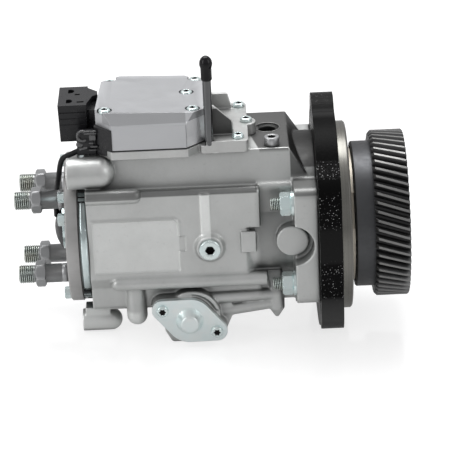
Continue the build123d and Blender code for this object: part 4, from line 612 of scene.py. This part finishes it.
def star(radius):
    """A six-lobed driver recess, by angle."""
    return lambda angle: radius * (1.0 + 0.15 * math.cos(6 * angle))


def thread(start, end, radius, pitch, materials):
    """Stations of a helical thread between two distances, chamfered at its start.

    The materials are those of crest and root; the root's is dark, a painted shade in the grooves."""
    count = max(2, round((end - start) / pitch * THREAD_SAMPLES))

    def station(k):
        along = start + (end - start) * k / count

        def groove(angle, place):
            phase = (place / pitch - angle / (2 * math.pi)) % 1.0
            return min(1.0, max(0.0, (1.0 - abs(2 * phase - 1.0) - THREAD_FLAT) / THREAD_FLANK))

        def at(angle):
            cut = radius - THREAD_DEPTH * pitch * groove(angle, along)
            chamfer = max(0.0, along - start) / THREAD_LEAD_IN * THREAD_DEPTH * pitch
            return min(cut, radius - THREAD_DEPTH * pitch + chamfer)

        def shade(angle):
            behind = along - pitch / THREAD_SAMPLES / 2
            return materials[1] if groove(angle, behind) > THREAD_SHADE_START else materials[0]
        return (along, at, shade)
    return [station(k) for k in range(count + 1)]


def hex_band(start, end, flats, material):
    """Stations of a hexagon whose corners are turned down at both ends."""
    corner = flats / math.sqrt(3)
    low = flats / 2 * HEX_END_R
    turn = (corner - low) * HEX_TURN_L
    rise = [(start + turn * share, share) for share in HEX_TURN]
    fall = [(end - turn * share, share) for share in reversed(HEX_TURN)]
    return [(at, cut_hexagon(flats, low + (corner - low) * share), material) for at, share in rise + fall]


# ---- the outlet unions ----
def outlet_unions():
    """The four unions: seat, thread, hexagon, grooved sleeve and hollow shank."""
    target = bmesh.new()
    length = HEAD_BACK_X - OUTLET_TIP_X
    collar = OUTLET_THREAD_L + OUTLET_COLLAR_L
    body = collar + OUTLET_HEX_L
    rows = [(along, radius, 1) for along, radius in OUTLET_CONE]
    rows += thread(0.0, OUTLET_THREAD_L, OUTLET_THREAD_R, PITCH_M14, (1, 2))
    rows += [(OUTLET_THREAD_L + 0.25, OUTLET_COLLAR_R, 1), (collar, OUTLET_COLLAR_R, 0)]
    rows += hex_band(collar, body, OUTLET_HEX_AF, 0)
    rows.append((body + 0.2, OUTLET_SLEEVE_R, 0))
    rows += [(length - before, radius, 0) for before, radius in OUTLET_GROOVE]
    rows += [(length, OUTLET_SLEEVE_R, 0), (length, OUTLET_SHANK_R, 0)]
    rows += [(length + OUTLET_SHANK_L, OUTLET_SHANK_R, 0), (length + OUTLET_SHANK_L, OUTLET_BORE_R, 0)]
    rows += [(length - OUTLET_BORE_L, OUTLET_BORE_R, 0), (length - OUTLET_BORE_L, OUTLET_HOLE_R, 0)]
    for k in range(4):
        y, z = polar(OUTLET_PITCH_R, OUTLET_FIRST + 90 * k)
        turned(target, rows, (OUTLET_TIP_X, y, z), (1, 0, 0), ROUND_STEPS, closed=True)
    unions = add_mesh("outlet_unions", target, ("phosphated_steel", "thread_zinc", "thread_root_shade"))
    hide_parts("delivery_valve_holders")


# ---- studs and screws ----
def threaded_studs():
    """The four studs, threaded where they stand out of their nuts."""
    target = bmesh.new()
    for side in (-1, 1):
        for z in STUD_ZS:
            rows = thread(0.0, STUD_NUT_X - STUD_BACK_X + STUD_IN_NUT, STUD_R, PITCH_M10, (0, 1))
            rows += [(STUD_FRONT_X - STUD_BACK_X, STUD_END_R, 0)]
            turned(target, rows, (STUD_BACK_X, side * STUD_Y, z), (1, 0, 0), SMALL_STEPS)
    studs = add_mesh("threaded_studs", target, ("thread_zinc", "thread_root_shade"))
    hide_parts("mounting_studs")


def pan_screw(target, origin, direction, head_r, head_h, shank_r, shank_l, socket_r):
    """A domed head with a six-lobed recess, whose floor takes the dark second material as a painted shade.
    Origin is on the seat; direction points out of the head.
    """
    tip_l, tip_r = PAN_SHANK_TIP
    rows = [(-shank_l, shank_r - tip_r, 0), (-shank_l + tip_l, shank_r, 0), (0.0, shank_r, 0)]
    rows += [(0.0, head_r - PAN_EDGE, 0), (head_h * PAN_FOOT, head_r, 0), (head_h * PAN_SIDE, head_r, 0)]
    for share in PAN_ROUND_STEPS:
        swing = math.radians(90 * share)
        height = PAN_SIDE + (1.0 - PAN_SIDE) * math.sin(swing)
        rows.append((head_h * height, head_r - PAN_ROUND * (1 - math.cos(swing)), 0))
    rows += [(head_h, star(socket_r + LOBE_CHAMFER), 0), (head_h - LOBE_EDGE, star(socket_r), 0)]
    # the recess's floor in the dark second material: painted shade
    rows += [(head_h - LOBE_DEPTH, star(socket_r), 1), (head_h - LOBE_DEPTH - LOBE_TIP_R, LOBE_TIP_R, 1)]
    turned(target, rows, origin, direction, ROUND_STEPS)


def cover_top_z(x):
    """Height of the control unit's sloping top."""
    return COVER_BACK_TOP_Z - (x - COVER_BACK_X) / COVER_L * COVER_FALL


def unit_screws():
    """The screws of the control unit's cover, and those of its base on the ledge."""
    target = bmesh.new()
    for x, y in UNIT_SCREWS:
        seat = EAR_TOP_Z if y > FAR_EARS_Y else cover_top_z(x) - UNIT_SCREW_SINK
        pan_screw(target, (x, y, seat), (0, 0, 1), SCREW_HEAD_R, SCREW_HEAD_H, UNIT_SHANK_R,
                  seat - UNIT_SHANK_FOOT_Z, SCREW_SOCKET_R)
    for x, y in LEDGE_SCREWS:
        pan_screw(target, (x, y, LEDGE_TOP_Z), (0, 0, 1), SCREW_HEAD_R, SCREW_HEAD_H, LEDGE_SHANK_R,
                  LEDGE_TOP_Z - LEDGE_SHANK_FOOT_Z, SCREW_SOCKET_R)
    screws = add_mesh("unit_screws", target, ("zinc_plate", "seal_rubber"))
    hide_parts("control_unit_screws")


def timing_screws():
    """The two screws of each timing cover."""
    target = bmesh.new()
    tilt = math.radians(TIMING_SCREW_TILT)
    for side in (-1, 1):
        for end in (-1, 1):
            x = TIMING_X + end * TIMING_SCREW_PITCH * math.cos(tilt)
            z = TIMING_Z - end * TIMING_SCREW_PITCH * math.sin(tilt)
            pan_screw(target, (x, side * TIMING_FACE_Y, z), (0, side, 0), TIMING_HEAD_R, TIMING_HEAD_H,
                      TIMING_SHANK_R, TIMING_SHANK_L, TIMING_SOCKET_R)
    screws = add_mesh("timing_screws", target, ("zinc_plate", "seal_rubber"))
    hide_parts("timing_cover_screws")


def socket_head(target, origin, direction, head_r, head_h, shank_r, shank_l, flats, depth):
    """A cylindrical head with a chamfered rim and a hexagon socket whose inside takes the dark second
    material as a painted shade.
    """
    (tip_l, tip_r), (mouth_r, mouth_l), (point_l, point_r) = SOCKET_SHANK_TIP, SOCKET_MOUTH, SOCKET_POINT
    rows = [(-shank_l, shank_r - tip_r, 0), (-shank_l + tip_l, shank_r, 0), (0.0, shank_r, 0)]
    rows += [(0.0, head_r - SOCKET_FOOT, 0), (SOCKET_FOOT, head_r, 0)]
    rows += [(head_h - below, head_r - inside, 0) for below, inside in SOCKET_RIM]
    rows += [(head_h, flats / math.sqrt(3) + mouth_r, 0), (head_h - mouth_l, hexagon(flats), 0)]
    # the socket's inside in the dark second material: painted shade
    rows += [(head_h - SOCKET_SHADE_DEPTH, hexagon(flats), 1), (head_h - depth, hexagon(flats), 1)]
    rows.append((head_h - depth - point_l, point_r, 1))
    turned(target, rows, origin, direction, ROUND_STEPS)


def side_plug():
    target = bmesh.new()
    socket_head(target, SIDE_PLUG, (0, -1, 0), PLUG_HEAD_R, PLUG_HEAD_H, PLUG_SHANK_R, PLUG_SHANK_L,
                PLUG_SOCKET_AF, PLUG_SOCKET_DEPTH)
    plug = add_mesh("socket_plug", target, ("zinc_plate", "seal_rubber"))
    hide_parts("side_plug")


def bleed_screw():
    target = bmesh.new()
    socket_head(target, BLEED, (0, 0, 1), BLEED_HEAD_R, BLEED_HEAD_H, BLEED_R, BLEED_L,
                BLEED_SOCKET_AF, BLEED_SOCKET_DEPTH)
    screw = add_mesh("socket_screw", target, ("phosphated_steel", "seal_rubber"))
    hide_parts("bleed_screw")


# ---- the band and the port ----
def joint_band():
    """The band round the joint, with its two clips: bright tongues over a black slab, a painted shade in the
    gaps.
    """
    target = bmesh.new()
    (x0, x1), top = BAND_X, BAND_R + BAND_T
    turned(target, [(0.0, BAND_R, 0), (0.0, top, 0), (x1 - x0, top, 0), (x1 - x0, BAND_R, 0)],
           (x0, 0, 0), (1, 0, 0), 2 * ROUND_STEPS, closed=True)
    for angle, spread in BAND_CLIPS:
        for start, end, height, material in CLIP_PARTS:
            known = len(target.faces)
            slab(target, (x0 + BAND_EDGE, -end * spread, top - CLIP_ROOT),
                 (x1 - BAND_EDGE, -start * spread, top + height))
            target.faces.ensure_lookup_table()
            made = target.faces[known:]
            corners = {v for face in made for v in face.verts}
            for face in made:
                face.material_index = material
            bmesh.ops.rotate(target, cent=(0, 0, 0), matrix=Matrix.Rotation(math.radians(angle), 3, "X"),
                             verts=list(corners))
    band = add_mesh("clipped_band", target, ("band_zinc_painted_reflection", "seal_rubber"))
    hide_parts("joint_band")


def port_rim():
    """The thin turned lip round the return port."""
    target = bmesh.new()
    rows = [(height, RETURN_RIM_R + past, 0) for height, past in RETURN_RIM]
    turned(target, rows, RETURN_PORT, (0, 0, 1), closed=True)
    add_mesh("port_rim", target, ("cast_plain",))


# ---- castings ----
def apply_modifiers(piece):
    bpy.context.view_layer.update()
    graph = bpy.context.evaluated_depsgraph_get()
    mesh = bpy.data.meshes.new_from_object(piece.evaluated_get(graph))
    piece.modifiers.clear()
    old = piece.data
    piece.data = mesh
    bpy.data.meshes.remove(old)


def copy_node(node):
    """A welded bmesh of a CAD node."""
    target = bmesh.new()
    target.from_mesh(NODES[node].data)
    bmesh.ops.remove_doubles(target, verts=target.verts, dist=1e-6)
    return target


HOUSING_VOXEL, QUICK_VOXEL, BASE_VOXEL = 0.65, 0.8, 0.5  # mm


def recast(node, name, voxel, rounds, keep, crisp=None, extras=None):
    """A softened copy of a CAD casting, with cast details merged in, that stands for the node.

    rounds is how often it is smoothed, and keep the share of the faces that stays. crisp(point) from 0
    to 1 says how much of the smoothing a point escapes, and extras(bmesh) adds the details."""
    target = copy_node(node)
    if extras:
        extras(target)
    bmesh.ops.recalc_face_normals(target, faces=target.faces)
    mesh = bpy.data.meshes.new(name)
    target.to_mesh(mesh)
    target.free()
    piece = add_object(name, mesh, (SLOTS[node],), NODES[node]["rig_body"])
    remesh = piece.modifiers.new("voxels", "REMESH")
    remesh.mode = "VOXEL"
    remesh.voxel_size = voxel * MM
    remesh.use_smooth_shade = True
    apply_modifiers(piece)
    group = piece.vertex_groups.new(name="soft")
    levels = {}
    for v in piece.data.vertices:
        weight = 1.0 if crisp is None else round(1.0 - crisp(v.co / MM), 2)
        levels.setdefault(weight, []).append(v.index)
    for weight, indices in levels.items():
        group.add(indices, weight, "REPLACE")
    smooth = piece.modifiers.new("soften", "SMOOTH")
    smooth.factor = 0.5
    smooth.iterations = rounds
    smooth.vertex_group = "soft"
    thin = piece.modifiers.new("thin", "DECIMATE")
    thin.ratio = keep
    apply_modifiers(piece)
    piece.vertex_groups.clear()
    for polygon in piece.data.polygons:
        polygon.use_smooth = True
    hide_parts(node)
    return piece


def bar(target, a, b, radius, steps=BAR_STEPS):
    """A round-ended bar between two points in mm."""
    a, b = Vector(a), Vector(b)
    length = (b - a).length
    swings = [math.pi / 2 * k / BAR_END_STEPS for k in range(BAR_END_STEPS + 1)]
    rows = [(-radius * math.cos(swing), radius * math.sin(swing), 0) for swing in swings[1:]]
    rows += [(length + radius * math.sin(swing), radius * math.cos(swing), 0) for swing in swings[:-1]]
    turned(target, rows, a, (b - a).normalized(), steps)


def slab(target, low, high):
    """A box between two corners in mm."""
    made = bmesh.ops.create_cube(target, size=1.0)["verts"]
    low, high = Vector(low), Vector(high)
    for v in made:
        v.co = Vector((low[k] + (high[k] - low[k]) * (v.co[k] + 0.5)) * MM for k in range(3))


def housing_details(target):
    """The collar over the timing cover, the lip of the label's recess and the bare pad beside it.

    A screw of the ledge is so long that its hole opens in the block's flank, which is filled there."""
    points = []
    for k in range(COLLAR_STEPS + 1):
        t = math.radians(COLLAR_START + COLLAR_STEP * k)
        points.append((TIMING_X + COLLAR_SHIFT + COLLAR_R * math.cos(t), COLLAR_FACE_Y,
                       TIMING_Z + COLLAR_R * math.sin(t)))
    for a, b in zip(points, points[1:]):
        bar(target, a, b, COLLAR_BAR_R)
    top, side = RECESS_TOP_Z + LIP_OFFSET, RECESS_SIDE_X + LIP_OFFSET
    path = ((RECESS_BACK_X, top), (side - LIP_CORNER, top), (side, top - LIP_CORNER), (side, TAB_TOP_Z))
    for a, b in zip(path, path[1:]):
        bar(target, (a[0], LIP_Y, a[1]), (b[0], LIP_Y, b[1]), LIP_R, 10)
    slab(target, *SCREW_HOLE_FILL)
    slab(target, *SIDE_PAD)


def housing_crisp(p):
    """Machined faces and the label panel keep their edges."""
    (back, foot), (front, top) = LABEL_LOW, LABEL_HIGH
    if back < p.x < front and p.y < LABEL_FACE_Y and foot < p.z < top:
        return LABEL_KEEP
    if p.z > MACHINED_TOP_Z or p.x < MACHINED_BACK_X or p.x > MACHINED_FRONT_X:
        return MACHINED_KEEP
    return 0.0


# ---- the black parts ----
def prism(target, plan, low, high):
    """A prism over a plan in mm."""
    feet, tops = ([target.verts.new(Vector((x, y, z)) * MM) for x, y in plan] for z in (low, high))
    target.faces.new(feet)
    target.faces.new(tops)
    for k in range(len(plan)):
        target.faces.new((feet[k - 1], feet[k], tops[k], tops[k - 1]))


def carve(piece, cutter):
    """Cuts a bmesh's solids from a piece."""
    mesh = finish_mesh("cutter", cutter)
    tool = bpy.data.objects.new("cutter", mesh)
    bpy.context.scene.collection.objects.link(tool)
    cut = piece.modifiers.new("cut", "BOOLEAN")
    cut.operation = "DIFFERENCE"
    cut.solver = "EXACT"
    cut.object = tool
    apply_modifiers(piece)
    bpy.data.objects.remove(tool)
    bpy.data.meshes.remove(mesh)


def keyhole(x, y, radius, steps=16):
    """The plan of an oval hole with one flat side."""
    plan = []
    for k in range(steps):
        turn = 2 * math.pi * k / steps
        plan.append((x + radius * max(-KEYHOLE_FLAT, math.cos(turn)),
                     y + radius * KEYHOLE_STRETCH * math.sin(turn)))
    return plan


def connector():
    """The shell with its coding holes, slots and seams, and the shoulder that runs to the control unit."""
    shell = add_mesh("coded_shell", copy_node("connector_shell"), ("black_plastic",))
    cutter = bmesh.new()
    for x, y in KEYHOLES:
        prism(cutter, keyhole(x, y, KEYHOLE_R), SHELL_TOP_Z - KEYHOLE_DEPTH, SHELL_TOP_Z + 1.0)
    for x0, x1, y in SHELL_SLOTS:
        slab(cutter, (x0, y - SHELL_SLOT_HALF_W, SHELL_TOP_Z - SHELL_SLOT_DEPTH),
             (x1, y + SHELL_SLOT_HALF_W, SHELL_TOP_Z + 1.0))
    for z, deep in SHELL_SEAMS:
        slab(cutter, (SHELL_LEFT_X - 1, SHELL_FRONT_Y - 1, z),
             (SHELL_RIGHT_X - 0.5, SHELL_FRONT_Y + deep, z + SHELL_SEAM_W))
    carve(shell, cutter)
    shoulder = bmesh.new()
    shoulder.from_mesh(shell.data)
    prism(shoulder, SHOULDER, SHOULDER_FOOT_Z, SHELL_TOP_Z - SHOULDER_STEP)
    bmesh.ops.recalc_face_normals(shoulder, faces=shoulder.faces)
    shoulder.to_mesh(shell.data)
    shoulder.free()
    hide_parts("connector_shell")


def lead_clamp():
    """The moulded clamp that holds the lead: its body, the latch's bars, the loop and the knob. The bars,
    key, loop, knob and rod take a paler glossy plastic: real gloss, with the paler colour a painted
    highlight.
    """
    target = bmesh.new()
    turned(target, CLAMP_BODY, CLAMP_AXIS, (1, 0, 0), 32)
    for low, high in CLAMP_BLOCKS:
        slab(target, low, high)
    dull = len(target.faces)
    for x0, x1, z, radius in CLAMP_BARS:
        bar(target, (x0, LATCH_TIP_Y, z), (x1, LATCH_TIP_Y, z), radius)
    slab(target, *CLAMP_KEY)
    places = []
    for k in range(LOOP_POINTS):
        t = math.radians(LOOP_START + LOOP_STEP * k)
        places.append((LOOP_X + LOOP_RX * math.cos(t), LATCH_TIP_Y + LOOP_SINK,
                       LOOP_Z + LOOP_RZ * math.sin(t)))
    for a, b in zip(places, places[1:]):
        bar(target, a, b, LOOP_R)
    bar(target, *CLAMP_KNOB)
    bar(target, *CLAMP_ROD)
    target.faces.ensure_lookup_table()
    for face in target.faces[dull:]:
        face.material_index = 1
    clamp = add_mesh("lead_clamp", target, ("black_plastic", "glossy_plastic_painted_highlight"))
    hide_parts("lead_grommet")


def lead():
    """The lead as a smooth line through its points."""
    data = bpy.data.curves.new("lead", "CURVE")
    data.dimensions = "3D"
    data.bevel_depth = LEAD_R * MM
    data.bevel_resolution = 4
    data.use_fill_caps = True
    line = data.splines.new("NURBS")
    line.points.add(len(LEAD) - 1)
    for point, place in zip(line.points, LEAD):
        point.co = (*(v * MM for v in place), 1.0)
    line.order_u = 3
    line.use_endpoint_u = True
    line.resolution_u = 10
    piece = add_object("lead", data, ("lead_sheath",), "pump_body")
    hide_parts("solenoid_lead")


def cap():
    """The rubber cap on the vent pipe, swollen at its top."""
    rows = [(height, radius, 0) for height, radius in CAP_PROFILE]
    target = bmesh.new()
    turned(target, rows, (PIPE_X, PIPE_Y, 0.0), (0, 0, 1), SMALL_STEPS, closed=True)
    piece = add_mesh("vent_cap", target, ("cap_rubber",))
    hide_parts("pipe_cap")


def corner_plate():
    """The plate over the unit's cut corner, with its top sloped as the cover's corner is."""
    target = copy_node("connector_flange")
    top = max(v.co.z for v in target.verts)
    for v in target.verts:
        if v.co.z > top - CORNER_BAND * MM:
            v.co.z -= CORNER_DROP * MM
    piece = add_mesh("corner_plate", target, ("black_plastic",))
    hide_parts("connector_flange")


# ---- studio, in metres ----
CAMERA_TARGET, CAMERA_PLACE = (-0.0834, 0.0, -0.00484), (-0.0834, -1.6834, 0.7447)
FOCAL_PIXELS, PICTURE_PIXELS, SENSOR = 2473.48, 450, 36.0
FLOOR_TILT = math.radians(2.549)  # the camera's roll, which tilts the floor under the plate's foot too
PLATE_FOOT = (-8.0, -82.0)  # x and z in mm
FLOOR_SIZE, FLOOR_GREY, FLOOR_ROUGHNESS = 3.0, 0.46, 0.09
FLOOR_SEEN, FLOOR_MIRRORED = 0.71, 0.24  # what lifts it towards white for the camera, and in reflections
SKY = ((0.0, 0.25), (0.5, 0.42), (0.66, 0.56), (0.75, 0.6), (0.9, 0.5), (1.0, 0.6))  # from below to above
SKY_BLUE = 1.01
SKY_FRONT = 0.8  # the sky before the object, as a share of the sky behind it
SKY_TURN = (-0.6, 0.4)  # from where to where it changes, along y
# Name, place, what it aims at, size, watts
LAMPS = (("top", (-0.15, 0.4, 1.15), (-0.1, 0, 0), (1.1, 0.6), 10.0),
         ("left", (-1.0, -0.55, 0.5), (-0.15, 0, 0), (0.35, 0.8), 2.5),
         ("right", (0.85, -0.55, 0.55), (0.0, 0, 0), (0.3, 0.9), 2.0))


def camera():
    target, place = Vector(CAMERA_TARGET), Vector(CAMERA_PLACE)
    data = bpy.data.cameras.new("camera")
    data.sensor_width = SENSOR
    data.lens = FOCAL_PIXELS / PICTURE_PIXELS * SENSOR
    data.clip_end = 20.0
    view = bpy.data.objects.new("camera", data)
    bpy.context.scene.collection.objects.link(view)
    view.rotation_mode = "QUATERNION"
    roll = Quaternion((0, 0, 1), -FLOOR_TILT)
    view.rotation_quaternion = (target - place).to_track_quat("-Z", "Y") @ roll
    view.location = place
    bpy.context.scene.camera = view


def softbox(name, place, aim_at, size, power):
    data = bpy.data.lights.new(name, "AREA")
    data.shape = "RECTANGLE"
    data.size, data.size_y = size
    data.energy = power
    lamp = bpy.data.objects.new(name, data)
    lamp.location = place
    lamp.rotation_mode = "QUATERNION"
    lamp.rotation_quaternion = (Vector(aim_at) - Vector(place)).to_track_quat("-Z", "Y")
    bpy.context.scene.collection.objects.link(lamp)


def studio():
    """White for the camera; for the object a pale sky, brighter above and behind, and three lamps."""
    scene = bpy.context.scene
    scene.view_settings.view_transform = "Standard"
    world = bpy.data.worlds.new("studio")
    scene.world = world
    world.use_nodes = True
    sky = Nodes(world.node_tree, "Generated")
    _, y, z = sky.split()
    height = sky.ramp(sky.span(z, -1.0, 1.0), [(at, (level, level, level * SKY_BLUE)) for at, level in SKY])
    front = sky.span(y, *SKY_TURN, SKY_FRONT)
    shaded = sky.add("VectorMath")
    shaded.operation = "SCALE"
    sky.fill(shaded.inputs[0], height)
    sky.fill(shaded.inputs["Scale"], front)
    seen = sky.add("LightPath").outputs["Is Camera Ray"]
    background = sky.tree.nodes["Background"]
    sky.fill(background.inputs["Color"], sky.mix(seen, shaded.outputs[0], (1.0, 1.0, 1.0)))
    background.inputs["Strength"].default_value = 1.0
    for lamp in LAMPS:
        softbox(*lamp)


def floor():
    """A plain grey floor with a faint mirror image, lifted towards white where camera or metal see it."""
    mesh = bpy.data.meshes.new("floor")
    signs = ((-1, -1), (1, -1), (1, 1), (-1, 1))
    mesh.from_pydata([(FLOOR_SIZE * a, FLOOR_SIZE * b, 0) for a, b in signs], [], [(0, 1, 2, 3)])
    plane = bpy.data.objects.new("floor", mesh)
    bpy.context.scene.collection.objects.link(plane)
    plane.location = (PLATE_FOOT[0] * MM, 0, PLATE_FOOT[1] * MM - 0.0001)
    plane.rotation_euler = (0, FLOOR_TILT, 0)
    p = Paint("floor_white", Metallic=0.0, Base_Color=(FLOOR_GREY, FLOOR_GREY, FLOOR_GREY),
              Roughness=FLOOR_ROUGHNESS, Specular_IOR_Level=0.5)
    ray = p.add("LightPath").outputs
    mirrored = p.times(ray["Is Glossy Ray"], FLOOR_MIRRORED)
    lift = p.math("MULTIPLY_ADD", ray["Is Camera Ray"], FLOOR_SEEN, mirrored)
    both = p.add("AddShader")
    p.fill(both.inputs[0], p.shader.outputs[0])
    p.fill(both.inputs[1], p.add("Emission", Strength=lift).outputs[0])
    p.fill(p.tree.nodes["Material Output"].inputs[0], both.outputs[0])
    mesh.materials.append(p.material)


camera()
studio()
floor()
outlet_unions()
threaded_studs()
unit_screws()
timing_screws()
side_plug()
bleed_screw()
joint_band()
port_rim()
connector()
lead_clamp()
lead()
cap()
corner_plate()
recast("pump_housing", "housing_casting", HOUSING_VOXEL, 5, 0.35,
       housing_crisp, housing_details)
recast("control_unit_base", "unit_base_casting", BASE_VOXEL, 3, 0.3)
